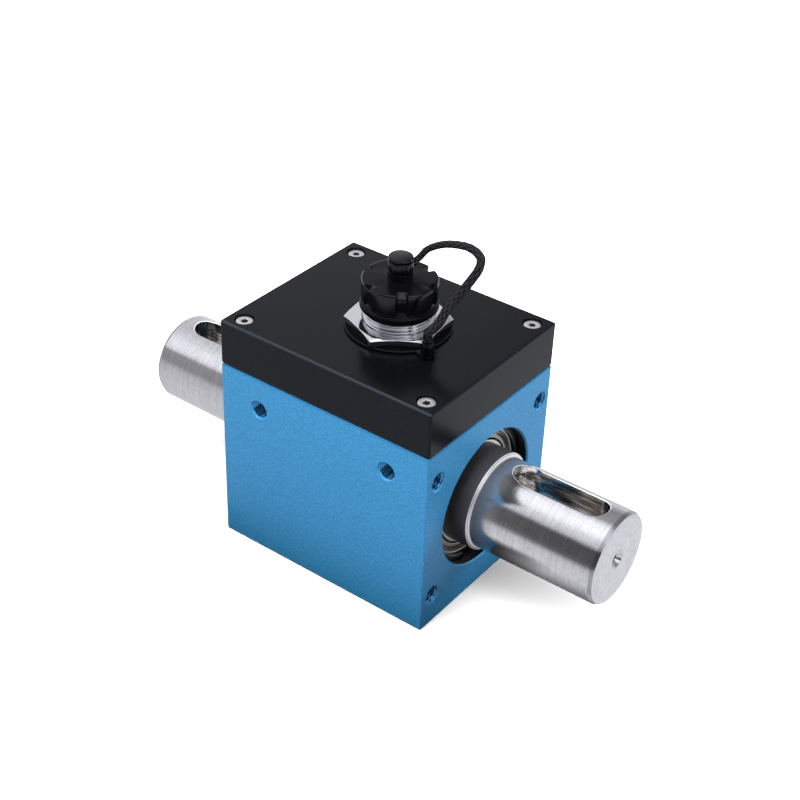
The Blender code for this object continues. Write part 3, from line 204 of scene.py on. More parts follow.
def settle(piece):
    """Apply the modifiers: the mesh that they make becomes the piece's own."""
    depsgraph = bpy.context.evaluated_depsgraph_get()
    made = bpy.data.meshes.new_from_object(piece.evaluated_get(depsgraph))
    piece.modifiers.clear()
    piece.data = made
    return piece


def carve(piece, *tools, operation="DIFFERENCE"):
    """Cut each tool out of a piece, exactly, and throw the tool away. The cut faces keep the tool's
    own material, so a bore can be bare where the block is anodised."""
    for tool in tools:
        step = piece.modifiers.new(tool.name, "BOOLEAN")
        step.operation = operation
        step.solver = "EXACT"
        step.material_mode = "TRANSFER"
        step.object = tool
    settle(piece)
    weld(piece.data)
    for tool in tools:
        bpy.data.objects.remove(tool)
    return piece


# %% [markdown]
# ## Boxes and plates
# The block and its cover are milled boxes with a small edge round them, and the pocket between them
# has round corners. A plate is an outline carried between two heights.

# %% Boxes and plates
def round_rectangle(half_x, half_y, corner, steps=6):
    """An outline of four quarter circles: each corner's centre plus corner * (cos, sin) of an angle
    that runs a quarter turn."""
    signs = np.array([(1, 1), (-1, 1), (-1, -1), (1, -1)])
    centres = signs * (half_x - corner, half_y - corner)
    angle = (np.arange(4)[:, None] + np.linspace(0, 1, steps + 1)) * math.pi / 2
    arcs = centres[:, None] + corner * np.stack([np.cos(angle), np.sin(angle)], -1)
    return arcs.reshape(-1, 2)


def stacked(name, rings, close_rows=False):
    """Outlines of equally many points, each at its height, joined in their order."""
    points = [np.column_stack([outline, np.full(len(outline), height)]) for outline, height in rings]
    return put_mesh(name, np.array(points), grid_faces(len(rings), len(points[0]), close_rows))


def plate(name, outline, bottom, top, centre=(0.0, 0.0)):
    """An outline carried from one height to another, closed by a fan of quads at each end that all
    meet at the outline's middle."""
    outline = np.asarray(outline, float)
    middle = np.broadcast_to(outline.mean(0), outline.shape) + centre
    outline = outline + centre
    return stacked(name, [(middle, bottom), (outline, bottom), (outline, top), (middle, top)])


def frame_ring(name, inner, outer, bottom, top):
    """The space between two outlines of equally many points, as the groove for a seal has."""
    return stacked(name, [(inner, bottom), (outer, bottom), (outer, top), (inner, top)], True)


def milled_box(name, half_x, half_y, bottom, top, edge):
    """A box whose twelve edges are rounded by a Bevel modifier, applied at once."""
    corners = np.array([(1, 1), (-1, 1), (-1, -1), (1, -1)]) * (half_x, half_y)
    box = plate(name, corners, bottom, top)
    shape = bmesh.new()
    shape.from_mesh(box.data)
    flat = [e for e in shape.edges if len(e.link_faces) == 2 and e.calc_face_angle() < 0.01]
    bmesh.ops.dissolve_edges(shape, edges=flat, use_verts=True)
    shape.to_mesh(box.data)
    shape.free()
    rounding = box.modifiers.new("edge", "BEVEL")
    rounding.width = edge * MM
    rounding.segments = 3
    return settle(box)


def flat_shading(piece, sharp=32.0):
    """Shading that keeps wide flats flat beside small rounded edges, by face area."""
    smooth(piece, sharp)
    weight = piece.modifiers.new("flats", "WEIGHTED_NORMAL")
    weight.keep_sharp = True
    weight.weight = 100
    return settle(piece)


# %% [markdown]
# ## Threads
# A thread's radius is a wave that climbs one pitch in each turn, with a small flat at crest and
# root. The same function makes a bolt's outside and, as a cutter, a tapped hole's wall.

# %% A thread's radius
def thread_wave(height, angle, pitch):
    """0 at the root and 1 at the crest: a triangle wave of height / pitch - angle / turn, steepened
    so that it rests for a while at both ends."""
    phase = (height / pitch - angle / math.tau) % 1.0
    return np.clip((1 - np.abs(2 * phase - 1) - 0.18) / 0.62, 0, 1)


def hole_mouth(mouth=5.5, core=4.2, steps=28):
    """The cutter of a hole's mouth: a cone, mouth across at height 0, that runs down to the core."""
    height = np.array([(core - mouth) / 2 - 0.2, (core - mouth) / 2, 0.4, 0.4])[:, None]
    radius = np.array([0.0, core / 2, mouth / 2 + 0.4, 0.0])[:, None]
    return around(height, radius, full_turn(steps), "own"), grid_faces(4, steps)


def tapped_hole(depth, root=5.0, core=4.2, pitch=0.8, steps=28):
    """The cutter of a tapped hole that opens upwards at height 0: a thread wave between core and
    root, with a drill's point below."""
    height = np.arange(-depth + 0.8, 0.41, pitch / 7)[:, None]
    fade = np.clip((height + depth - 0.8) / pitch, 0, 1)
    radius = core / 2 + (root - core) / 2 * thread_wave(height, full_turn(steps), pitch) * fade
    radius = np.pad(radius, ((2, 1), (0, 0)))
    radius[1] = core / 2
    height = np.concatenate([[[-depth - 1.2], [-depth]], height, [[0.4]]])
    return around(height, radius, full_turn(steps), "own"), grid_faces(len(height), steps)


print("one tapped hole:", len(tapped_hole(9.0)[1]), "faces")

# %% [markdown]
# ## Shader maths in Python
# A material is a small network of nodes. Wrapped in a class, a node's socket can be used like a
# number: `1 - noise * 0.2` adds the Math nodes by itself. Any other node comes from one method.

# %% A socket that can be added and multiplied
class Wire:
    """One output socket. Arithmetic on it adds Math nodes and gives a new Wire."""

    def __init__(self, finish, socket):
        self.finish = finish
        self.socket = socket

    def maths(self, operation, *values):
        """One Math node of any kind."""
        return self.finish.node("ShaderNodeMath", {"operation": operation}, *values)

    def __add__(self, other):
        return self.maths("ADD", self, other)

    def __radd__(self, other):
        return self.maths("ADD", other, self)

    def __sub__(self, other):
        return self.maths("SUBTRACT", self, other)

    def __rsub__(self, other):
        return self.maths("SUBTRACT", other, self)

    def __mul__(self, other):
        return self.maths("MULTIPLY", self, other)

    def __rmul__(self, other):
        return self.maths("MULTIPLY", other, self)

    def __truediv__(self, other):
        return self.maths("DIVIDE", self, other)

    def __pow__(self, other):
        return self.maths("POWER", self, other)

    def above(self, edge, width):
        """0 below the edge and 1 above it, over a width."""
        ends = edge - width / 2, edge + width / 2
        return self.finish.node("ShaderNodeMapRange", {"interpolation_type": "SMOOTHSTEP"}, self, *ends)

    def most(self, other):
        """The greater of two."""
        return self.maths("MAXIMUM", self, other)

    def wave(self):
        """The sine, from -1 to 1."""
        return self.maths("SINE", self)

    def size(self):
        """The number without its sign."""
        return self.maths("ABSOLUTE", self)


# %% A finish: one material and its nodes
class Finish:
    """A principled material. What is the same all over is set on the shader's own sockets here. The
    first colour and roughness are the plain ones that a viewer without the nodes shows."""

    def __init__(self, name, color, roughness, metallic=0.0, **constants):
        self.material = bpy.data.materials.new(name)
        self.material.use_nodes = True
        self.tree = self.material.node_tree
        self.shader = self.tree.nodes["Principled BSDF"]
        self.put("Base Color", (*color, 1.0))
        self.put("Roughness", roughness)
        self.put("Metallic", metallic)
        for socket, value in constants.items():
            self.put(socket.replace("_", " ").title().replace("Ior", "IOR"), value)
        self.place = self.node("ShaderNodeTexCoord", {}, output="Object")

    def put(self, socket, value):
        """Link a wire to one of the shader's sockets, or set the socket's value."""
        if isinstance(value, Wire):
            self.tree.links.new(value.socket, self.shader.inputs[socket])
        else:
            self.shader.inputs[socket].default_value = value

    def node(self, kind, settings, *values, output=0, **named):
        """Any node: its settings first, then what its sockets hold, by order or by name."""
        made = self.tree.nodes.new(kind)
        for setting, value in settings.items():
            setattr(made, setting, value)
        for key, value in [*enumerate(values), *named.items()]:
            if isinstance(value, Wire):
                self.tree.links.new(value.socket, made.inputs[key])
            elif value is not None:
                made.inputs[key].default_value = value
        return Wire(self, made.outputs[output])

    def moved(self, centre=(0, 0, 0), stretch=(1, 1, 1)):
        """The place in millimetres less a centre, each way multiplied by a stretch."""
        centre = [c * MM for c in centre]
        less = self.node("ShaderNodeVectorMath", {"operation": "SUBTRACT"}, self.place, centre)
        return self.node("ShaderNodeVectorMath", {"operation": "MULTIPLY"}, less, [s / MM for s in stretch])

    def parts(self, vector):
        """The three numbers of a vector."""
        first = self.node("ShaderNodeSeparateXYZ", {}, vector)
        return [Wire(self, socket) for socket in first.socket.node.outputs]

    def noise(self, vector, scale, detail=2.0, roughness=0.5):
        """Soft noise about 0.5. The vector is in millimetres, so scale is in waves a millimetre."""
        numbers = {"Scale": scale, "Detail": detail, "Roughness": roughness}
        return self.node("ShaderNodeTexNoise", {}, Vector=vector, **numbers)

    def blend(self, share, color_a, color_b):
        """One colour or the other, by a share from 0 to 1."""
        made = self.node("ShaderNodeMix", {"data_type": "RGBA"})
        mixer = made.socket.node
        for number, value in ((0, share), (6, color_a), (7, color_b)):
            if isinstance(value, Wire):
                self.tree.links.new(value.socket, mixer.inputs[number])
            else:
                mixer.inputs[number].default_value = (*value, 1.0)
        return Wire(self, mixer.outputs[2])

    def surface(self, color, roughness, height, depth):
        """Put colour, roughness and a bump, whose full swing is depth in millimetres, on the shader,
        and give the finished material."""
        self.put("Base Color", color)
        self.put("Roughness", roughness)
        bump = {"Strength": 1.0, "Distance": depth * MM, "Height": height}
        self.put("Normal", self.node("ShaderNodeBump", {}, **bump))
        return self.material


# %% [markdown]
# ## Anodised aluminium
# The block was blasted with fine beads before it was anodised, so its blue is a satin with a fine
# grain, a touch lighter and darker from spot to spot. The black cover was only milled smooth, so
# its grain is finer and faint tool lines run along it. Its top edge is a lighter line.

# %% Blue block
def make_blue():
    """Grain of two sizes and a slow cloud. The strip along the block's top edge, next to the cover, is
    painted darker as painted shade.
    """
    finish = Finish("blue_satin", (0.07, 0.29, 0.55), 0.4, 0.25, specular_ior_level=0.35)
    place = finish.moved()
    grain = finish.noise(place, 1.7, 2.0, 0.7)
    fine = finish.noise(place, 4.5, 1.0)
    cloud = finish.noise(place, 0.12, 3.0)
    tone = grain.above(0.5, 0.35) * 0.6 + fine.above(0.5, 0.4) * 0.34 + cloud * 0.06
    color = finish.blend(tone, (0.020, 0.205, 0.432), (0.062, 0.335, 0.655))
    # Painted shade: the strip along the block's top edge is darkened.
    painted_cover_shade = finish.parts(place)[2].above(53.55, 0.1)
    color = finish.blend(painted_cover_shade * 0.6, color, (0.012, 0.09, 0.20))
    return finish.surface(color, 0.36 + fine * 0.12, grain * 0.5 + fine * 0.5, 0.05)


def make_black():
    """Tool lines along x, grain and a slow cloud. The top is painted darker than the sides, as painted shade.
    """
    finish = Finish("black_satin", (0.018, 0.019, 0.023), 0.3, 0.0, specular_ior_level=0.13)
    place = finish.moved()
    lines = finish.noise(finish.moved(stretch=(0.05, 3.0, 3.0)), 2.0, 3.0, 0.6)
    grain = finish.noise(place, 3.2, 3.0, 0.7)
    cloud = finish.noise(place, 0.08, 2.0)
    tone = lines * 0.4 + grain.above(0.5, 0.4) * 0.4 + cloud * 0.2
    _, y, z = finish.parts(place)
    rim = y.size().above(26.5, 0.1) * z.above(66.5, 0.1)
    side = finish.blend(tone, (0.0024, 0.0032, 0.0046), (0.0065, 0.0075, 0.0110))
    # Painted shade: the top's colour is a darker copy of the sides' colour.
    top = finish.blend(tone, (0.0006, 0.0008, 0.0011), (0.0024, 0.0028, 0.0036))
    color = finish.blend(rim, finish.blend(z.above(66.96, 0.04), side, top), (0.021, 0.025, 0.032))
    return finish.surface(color, 0.15 + grain * 0.10, lines * 0.3 + grain * 0.7, 0.012)


BLUE = make_blue()
BLACK = make_black()
print("finishes:", BLUE.name, BLACK.name)

# %% [markdown]
# ## Turned steel
# A lathe leaves rings. Along a cylinder they repeat with x, on an end face with the radius, and on
# a chamfer with both, so the sum of the two runs on over all three. Noise of that sum makes rings
# that match at every corner, with a little drift round the shaft so that no ring is perfect.

# %% Steel finishes
def lathe_drift(finish):
    """A place whose first number is the distance along the shaft plus the distance from its axis, in
    millimetres. The other two are small shares of y and z."""
    x, y, z = finish.parts(finish.moved(SHAFT_LINE))
    radius = (y * y + z * z) ** 0.5
    return finish.node("ShaderNodeCombineXYZ", {}, x.size() + radius, y * 0.03, z * 0.03)


def make_turned_steel():
    """Rings from the lathe, seen as thin lighter and darker lines, and strokes along the shaft from
    the cloth that it was polished with, which tilt the surface a little each way. Close to the
    block the steel is painted darker and less metallic as painted shade, the centre drill's hole is
    painted nearly black as painted shade, and the end chamfer carries a painted dark reflection."""
    finish = Finish("turned_steel", (0.63, 0.625, 0.62), 0.16, 1.0)
    drift = lathe_drift(finish)
    fine = finish.noise(drift, 5.0, 2.0, 0.6)
    rings = finish.noise(drift, 1.6, 3.0, 0.75)
    strokes = finish.noise(finish.moved(SHAFT_LINE, (0.35, 3.2, 3.2)), 1.0, 3.0, 0.7)
    dashes = finish.noise(finish.moved(SHAFT_LINE, (2.4, 0.7, 0.7)), 1.0, 2.0, 0.6)
    smear = finish.noise(finish.moved(SHAFT_LINE, (0.4, 0.12, 0.12)), 1.0, 2.0)
    tone = rings.above(0.5, 0.5) * 0.45 + dashes.above(0.5, 0.4) * 0.3 + strokes.above(0.5, 0.5) * 0.25
    x, y, z = finish.parts(finish.moved(SHAFT_LINE))
    radius = (y * y + z * z) ** 0.5
    # Painted shade: darker, less metallic steel close to the block.
    shade_near_block = 1 - x.size().above(40.5, 7.0)
    # Painted dark reflection on the end chamfer.
    chamfer = x.size().above(70.98, 0.04) * radius.above(12.02, 0.04)
    # Painted shade: the centre drill's hole is nearly black.
    drill_hole_shade = (1 - radius.above(1.5, 0.1)) * (1 - x.size().above(70.95, 0.2))
    color = finish.blend(tone, (0.50, 0.50, 0.515), (0.78, 0.775, 0.77))
    color = finish.blend(shade_near_block, color, (0.21, 0.20, 0.205))
    color = finish.blend(chamfer * 0.75, color, (0.30, 0.30, 0.32))
    color = finish.blend(drill_hole_shade, color, (0.03, 0.03, 0.03))
    finish.put("Metallic", 1 - shade_near_block * 0.3)
    ridges = fine * (shade_near_block * 0.5 + 0.2) + rings * 0.2
    return finish.surface(color, 0.06 + rings * 0.05 + smear * 0.06, ridges + strokes * 0.6, 0.011)


def make_milled_steel():
    """Arcs across the keyway, passes of the cutter along it, and a brown stain here and there."""
    finish = Finish("milled_keyway", (0.5, 0.48, 0.45), 0.2, 1.0)
    arcs = finish.noise(finish.moved(SHAFT_LINE, (2.6, 0.5, 2.0)), 1.0, 3.0, 0.65)
    passes = finish.noise(finish.moved(SHAFT_LINE, (0.05, 2.2, 2.2)), 1.0, 4.0, 0.7)
    stain = finish.noise(finish.moved(SHAFT_LINE, (0.12, 1.4, 0.5)), 1.0, 3.0)
    color = finish.blend(stain.above(0.52, 0.2), (0.42, 0.41, 0.395), (0.27, 0.23, 0.19))
    color = finish.blend(passes.above(0.55, 0.08), color, (0.86, 0.85, 0.83))
    return finish.surface(color, 0.10 + arcs * 0.10, arcs * 0.15 + passes * 0.85, 0.02)


def make_ring_steel(name, color, roughness, depth, line_scale, edge_color=None, metallic=1.0):
    """Steel whose rings are ground finely: the same sum, other numbers. With an edge colour, what
    lies further out than 35.88 mm along the shaft, a sleeve's chamfer, is bare but for one dark
    line that a tool left."""
    finish = Finish(name, color, roughness, metallic)
    drift = lathe_drift(finish)
    fine = finish.noise(drift, line_scale, 2.0, 0.6)
    bands = finish.noise(drift, line_scale / 6, 2.0)
    shade = finish.blend(bands, tuple(c * 0.8 for c in color), color)
    if edge_color:
        along = finish.parts(finish.moved())[0].size()
        groove = along.above(36.12, 0.05) * (1 - along.above(36.26, 0.05))
        shade = finish.blend(along.above(35.88, 0.06), shade, edge_color)
        shade = finish.blend(groove, shade, (0.30, 0.30, 0.31))
    return finish.surface(shade, roughness * 0.8 + fine * roughness * 0.4, fine, depth)


TURNED = make_turned_steel()
MILLED = make_milled_steel()
BARE_EDGE = (0.78, 0.765, 0.77)
SLEEVE = make_ring_steel("polished_sleeve", (0.12, 0.116, 0.13), 0.34, 0.0015, 3.0, BARE_EDGE, 0.65)
RACE = make_ring_steel("bearing_steel", (0.62, 0.61, 0.59), 0.16, 0.004, 9.0)
SHIELD = make_ring_steel("pressed_shield", (0.36, 0.35, 0.31), 0.26, 0.001, 2.0)
# The bore's bare wall, painted nearly black as painted shade inside the bore.
SHADED_BORE = make_ring_steel("bore_wall_painted_dark", (0.034, 0.042, 0.056), 0.36, 0.0006, 1.5)
SPRING = make_ring_steel("blackened_spring", (0.035, 0.036, 0.042), 0.3, 0.001, 3.0)
TAPPED = make_ring_steel("tapped_wall", (0.075, 0.30, 0.56), 0.22, 0.002, 4.0)
# The keyways' bare rims, painted near white as a highlight.
RIM_HIGHLIGHT = make_ring_steel("rim_painted_highlight", (0.93, 0.925, 0.92), 0.4, 0.002, 3.0, metallic=0.45)
RINGED = [SLEEVE, RACE, SHIELD, SHADED_BORE, SPRING, TAPPED, RIM_HIGHLIGHT]
print("steel finishes:", [m.name for m in (TURNED, MILLED, *RINGED)])

# %% [markdown]
# ## Plated, moulded and woven finishes
# The connector's metal is bright nickel over turned brass. The cap is black nylon with the faint
# texture of its mould. The cord is braided, and its pattern follows the cord by its own UV map.

# %% Connector finishes
CARRIERS = 12
LAY = 4.4
SCREW_X, SCREW_Y = 28.5, 22.7


def make_nickel():
    """Bright plating with a grain of two sizes."""
    finish = Finish("nickel_plate", (0.75, 0.76, 0.78), 0.14, 1.0)
    place = finish.moved(CONNECTOR_LINE)
    grain = finish.noise(place, 4.0, 3.0, 0.6)
    fine = finish.noise(place, 16.0, 1.0)
    color = finish.blend(grain, (0.62, 0.63, 0.66), (0.82, 0.82, 0.83))
    return finish.surface(color, 0.05 + grain * 0.10, grain * 0.7 + fine * 0.3, 0.0007)


def make_nylon(name, specular):
    """Black and dull on its flats, with a shine where the mould was polished: on the cap's skirt and
    rim, on the stub and at the edge of the ring under the nut. The shine is a coat whose weight goes
    by height and by the distance from the connector's axis."""
    constants = {"specular_ior_level": specular, "coat_roughness": 0.16}
    finish = Finish(name, (0.0012, 0.0013, 0.0018), 0.24, 0.0, **constants)
    place = finish.moved(CONNECTOR_LINE)
    grain = finish.noise(place, 6.0, 2.0)
    cloud = finish.noise(place, 0.5, 2.0)
    x, y, z = finish.parts(place)
    radius = (x * x + y * y) ** 0.5
    on_cap = z.above(72.5, 0.5)
    below_top = 1 - z.above(80.83, 0.08)
    stub = z.above(81.2, 0.2) * 0.45
    ring_edge = radius.above(13.5, 0.1) * 0.5
    skirt = z.above(75.0, 0.6) * below_top * 0.6
    finish.put("Coat Weight", on_cap * skirt.most(stub) + (1 - on_cap) * ring_edge)
    color = finish.blend(grain * 0.5 + cloud * 0.5, (0.0009, 0.0010, 0.0014), (0.0018, 0.0019, 0.0027))
    return finish.surface(color, 0.19 + cloud * 0.10, grain, 0.004)


def make_cord():
    """Along the cord its UV map counts millimetres, round it the other count is turns. The strands'
    heights are worked out as in the cord's own mesh, and the colour follows them: a painted highlight
    on top of each strand and painted shade, nearly black, between them, with fine threads along each strand."""
    finish = Finish("braided_cord", (0.013, 0.013, 0.015), 0.5, 0.0, specular_ior_level=0.3)
    along, turns, _ = finish.parts(finish.node("ShaderNodeUVMap", {"uv_map": "along"}))
    right_count = (turns * (CARRIERS / 2) + along * (2 / LAY)) * math.tau
    left_count = (turns * (CARRIERS / 2) - along * (2 / LAY)) * math.tau
    right_strand = (right_count + math.pi / 2).wave().size() ** 0.5 + left_count.wave() * 0.6
    left_strand = (left_count + math.pi / 2).wave().size() ** 0.5 - right_count.wave() * 0.6
    # Painted highlight on the strands' tops and painted shade between them.
    top = right_strand.most(left_strand).above(1.2, 0.7)
    threads = (right_count * 5.0).wave() * 0.5 + 0.5
    fuzz = finish.noise(finish.moved(), 7.0, 2.0)
    tone = top * (0.55 + threads * 0.25 + fuzz * 0.4)
    color = finish.blend(tone, (0.0010, 0.0010, 0.0013), (0.017, 0.017, 0.020))
    return finish.surface(color, 0.35 + fuzz * 0.2, tone, 0.10)


def make_stainless():
    """Spotted steel, painted dark as shade inside the recess of each cover screw's head."""
    finish = Finish("stainless_screw", (0.66, 0.63, 0.58), 0.26, 1.0)
    place = finish.moved()
    grain = finish.noise(place, 5.0, 3.0, 0.65)
    spots = finish.noise(place, 1.3, 2.0)
    x, y, z = finish.parts(place)
    aside = ((x.size() - SCREW_X) ** 2.0 + (y.size() - SCREW_Y) ** 2.0) ** 0.5
    # Painted shade inside each screw head's recess.
    recess = (1 - aside.above(1.05, 0.1)) * (1 - z.above(66.42, 0.06))
    bright = finish.blend(spots, (0.80, 0.785, 0.78), (0.95, 0.94, 0.935))
    color = finish.blend(recess, bright, (0.20, 0.17, 0.13))
    return finish.surface(color, 0.40 + grain * 0.16, grain, 0.004)


NICKEL = make_nickel()
NYLON = make_nylon("black_nylon", 0.09)
RING_NYLON = make_nylon("dull_nylon", 0.01)
BRAID = make_cord()
STAINLESS = make_stainless()
print("connector finishes:", NICKEL.name, NYLON.name, BRAID.name, STAINLESS.name)

# %% [markdown]
# ## Finishes inside the case
# Nobody sees the inside while the cover is on, but it is finished as well: green boards with their
# copper traces, wound coils, sintered ferrite, gold contacts and rubber seals.

# %% Inner finishes
def make_board():
    """Solder mask over traces: two families of lines, each where the noise leaves it its patches."""
    finish = Finish("circuit_board", (0.02, 0.16, 0.07), 0.35, 0.0, coat_weight=0.3)
    x, y, _ = finish.parts(finish.moved())
    patch = finish.noise(finish.moved(), 0.25, 1.0).above(0.5, 0.05)
    along = (x * 4.2).wave().above(0.7, 0.2) * patch
    across = (y * 4.2).wave().above(0.7, 0.2) * (1 - patch)
    traces = along.most(across)
    color = finish.blend(traces, (0.012, 0.11, 0.045), (0.03, 0.24, 0.10))
    return finish.surface(color, 0.42 - traces * 0.12, traces, 0.03)


def make_winding():
    """Enamelled wire laid side by side: a round-topped wave along the shaft. The colour is painted darker
    between the wires, as painted shade.
    """
    finish = Finish("copper_winding", (0.72, 0.33, 0.15), 0.28, 1.0)
    wires = (finish.parts(finish.moved())[0] * 18.0).wave() * 0.5 + 0.5
    tone = finish.noise(finish.moved(), 1.5, 2.0)
    # Painted shade: the colour darkens between the wires.
    color = finish.blend(wires * 0.6 + tone * 0.4, (0.30, 0.11, 0.05), (0.80, 0.38, 0.18))
    return finish.surface(color, 0.28, wires, 0.08)


def make_grained(name, color, roughness, metallic, scale, depth):
    """A plain material with its grain: ferrite, rubber, foil, gold and moulded packages."""
    finish = Finish(name, color, roughness, metallic)
    grain = finish.noise(finish.moved(), scale, 3.0, 0.65)
    cloud = finish.noise(finish.moved(), scale / 12, 2.0)
    darker, lighter = (tuple(min(1.0, c * share) for c in color) for share in (0.7, 1.25))
    color = finish.blend(grain * 0.5 + cloud * 0.5, darker, lighter)
    return finish.surface(color, roughness * 0.8 + grain * roughness * 0.4, grain, depth)


BOARD = make_board()
WINDING = make_winding()
FERRITE = make_grained("sintered_ferrite", (0.035, 0.035, 0.04), 0.55, 0.2, 6.0, 0.05)
RUBBER = make_grained("seal_rubber", (0.016, 0.016, 0.016), 0.7, 0.0, 5.0, 0.03)
FOIL = make_grained("gauge_foil", (0.62, 0.36, 0.12), 0.35, 0.2, 7.0, 0.01)
GOLD = make_grained("contact_gold", (0.85, 0.60, 0.24), 0.2, 1.0, 8.0, 0.005)
PACKAGE = make_grained("chip_package", (0.02, 0.02, 0.022), 0.5, 0.0, 9.0, 0.01)
LEADS = make_grained("hookup_wire", (0.45, 0.16, 0.07), 0.45, 0.0, 3.0, 0.02)
INSIDE = [BOARD, WINDING, FERRITE, RUBBER, FOIL, GOLD, PACKAGE, LEADS]
print("inner finishes:", [m.name for m in INSIDE])


def dress(piece, material, body, slot, *nodes):
    """Give a new piece its material, its body and the solids that it stands for. The slot is not used."""
    if not piece.data.materials:
        piece.data.materials.append(material)
    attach(piece, body)
    if nodes:
        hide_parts(*nodes)
    return piece


# %% [markdown]
# ## The block
# One blue box, bored through from end to end and drilled and tapped on four sides. It is cut the
# way the real one is: a box with softened edges, less the bore, the pocket and twelve tapped holes.
# The bore was finished after the block was anodised, so its wall is bare and only its mouth blue.
# The bare wall is painted nearly black, as painted shade inside the bore.

# %% The bore, the pocket and the tapped holes
HALF_LENGTH, HALF_WIDTH, BLOCK_TOP = 33.0, 27.0, 54.0
MOUTH_START = 32.6
BORE_HALF = [
    (34.0, 0.0), (34.0, 20.4), (MOUTH_START, 19.0), (30.6, 19.0), (30.6, 19.5), (29.0, 19.5),
    (29.0, 18.6), (21.7, 18.6), (21.7, 17.3),
]
bore_profile = BORE_HALF + [(-height, radius) for height, radius in reversed(BORE_HALF)]
bore_tool = turned("bore", bore_profile, "x", 144, closed=False)
for material in (SHADED_BORE, BLUE):
    bore_tool.data.materials.append(material)
for face in bore_tool.data.polygons:
    face.material_index = int(abs(face.center.x) > MOUTH_START * MM)

POCKET = round_rectangle(23.0, 20.0, 4.0)
BOSSES = [(7.6 + sx * 12.0, sy * 15.0) for sx in (-1, 1) for sy in (-1, 1)]
pocket_tool = plate("pocket", POCKET, 48.0, 60.0)
for number, spot in enumerate(BOSSES):
    carve(pocket_tool, plate("boss_%d" % number, circle(2.5), 47.0, 50.3, spot))
GROOVE = round_rectangle(24.1, 21.1, 5.1), round_rectangle(25.9, 22.9, 6.9)
groove_tool = frame_ring("seal_groove", *GROOVE, 52.8, 55.0)


def hole_tool(name, surface, material, spots):
    """Several holes as one cutter. Each spot gives the mouth's place and the outward direction, and
    the hole's own axes are turned to it."""
    points, faces = surface
    points = points.reshape(-1, 3)
    turned_points = []
    for place, outward in spots:
        aim = Vector(outward).to_track_quat("Z", "Y").to_matrix()
        turned_points.append(points @ np.array(aim).T + place)
    offsets = np.arange(len(spots))[:, None, None] * len(points)
    tool = put_mesh(name, np.concatenate(turned_points), (faces[None] + offsets).reshape(-1, 4))
    tool.data.materials.append(material)
    return tool


END_SPOTS = [
    ((side * HALF_LENGTH, sy * 22.5, 27.0 + sz * 18.0), (side, 0, 0))
    for side in (1, -1) for sy in (-1, 1) for sz in (-1, 1)
]
SIDE_SPOTS = [((sx * 20.5, side * HALF_WIDTH, 44.8), (0, side, 0)) for side in (1, -1) for sx in (-1, 1)]
COVER_SCREWS = [(sx * SCREW_X, sy * SCREW_Y) for sx, sy in ((1, -1), (1, 1), (-1, 1), (-1, -1))]
hole_tools = [
    hole_tool("end_holes", tapped_hole(9.0), TAPPED, END_SPOTS),
    hole_tool("side_holes", tapped_hole(7.0), TAPPED, SIDE_SPOTS),
    plate("pickup_well", circle(2.8), 40.0, 50.0, (-17.8, 0.0)),
    *(plate("screw_hole_%d" % n, circle(1.35), 48.4, 55.0, spot) for n, spot in enumerate(COVER_SCREWS)),
]
mouth_tool = hole_tool("hole_mouths", hole_mouth(), BLUE, END_SPOTS + SIDE_SPOTS)

# %% Cut the block
block = milled_box("block", HALF_LENGTH, HALF_WIDTH, 0.0, BLOCK_TOP, 0.45)
block.data.materials.append(BLUE)
carve(block, mouth_tool, bore_tool, pocket_tool, groove_tool, *hole_tools)
flat_shading(block)
dress(block, BLUE, "case", "blue_anodised", "housing")
print("block:", len(block.data.polygons), "faces,", [m.name for m in block.data.materials])

# %% [markdown]
# ## The cover
# A black lid with the same outline, hollow underneath. Its top edge has a wider bevel than the
# block's, and each corner is counterbored for a screw head.

# %% Cut the cover
COVER_TOP = 67.0
cover = milled_box("cover", HALF_LENGTH, HALF_WIDTH, 54.2, COVER_TOP, 0.55)
cover.data.materials.append(BLACK)
inside_tool = plate("inside", POCKET, 50.0, 64.0)
socket_tool = plate("connector_hole", circle(9.3, 96), 60.0, 70.0, CONNECTOR_LINE[:2])
SINK = [(68.0, 0.0), (68.0, 3.65), (66.9, 2.55), (63.9, 2.55), (63.9, 1.55), (53.0, 1.55), (53.0, 0.0)]
sinks = []
for number, (x, y) in enumerate(COVER_SCREWS):
    sink = turned("sink_%d" % number, SINK, "own", 56, closed=False)
    sink.data.transform(Matrix.Translation((x * MM, y * MM, 0.0)))
    sinks.append(sink)
carve(cover, inside_tool, socket_tool, *sinks)
flat_shading(cover)
dress(cover, BLACK, "case", "black_anodised", "top_cover")
print("cover:", len(cover.data.polygons), "faces")

# %% [markdown]
# ## The cover's screws
# Socket screws with a six-lobed recess. The recess is in the same grid as the head: the rows that
# form it have a radius that swings six times in a turn.

# %% Six-lobed screws
def screw_surface(x, y, turn, steps=72):
    """Rows from the recess's floor, up its lobed wall, over the head and down to the tip. A lobed
    row's radius is r + 0.13 r * cos(6 * angle)."""
    rows = np.array([
        # height, radius, share of the lobes
        (64.9, 0.0, 0), (65.2, 0.62, 1), (66.25, 0.80, 1), (66.42, 0.90, 1), (66.48, 1.0, 1),
        (66.5, 1.25, 0), (66.5, 2.08, 0), (66.46, 2.17, 0), (66.36, 2.23, 0), (66.2, 2.25, 0),
        (64.05, 2.25, 0), (64.0, 2.2, 0), (64.0, 1.25, 0), (49.3, 1.25, 0), (49.0, 0.95, 0), (49.0, 0.0, 0),
    ])
    height, radius, lobes = rows.T[:, :, None]
    radius = radius * (1 + 0.13 * lobes * np.cos(6 * (full_turn(steps) - turn)))
    points = around(height, radius, full_turn(steps), "own") + (x, y, 0.0)
    return points, grid_faces(len(rows), steps)


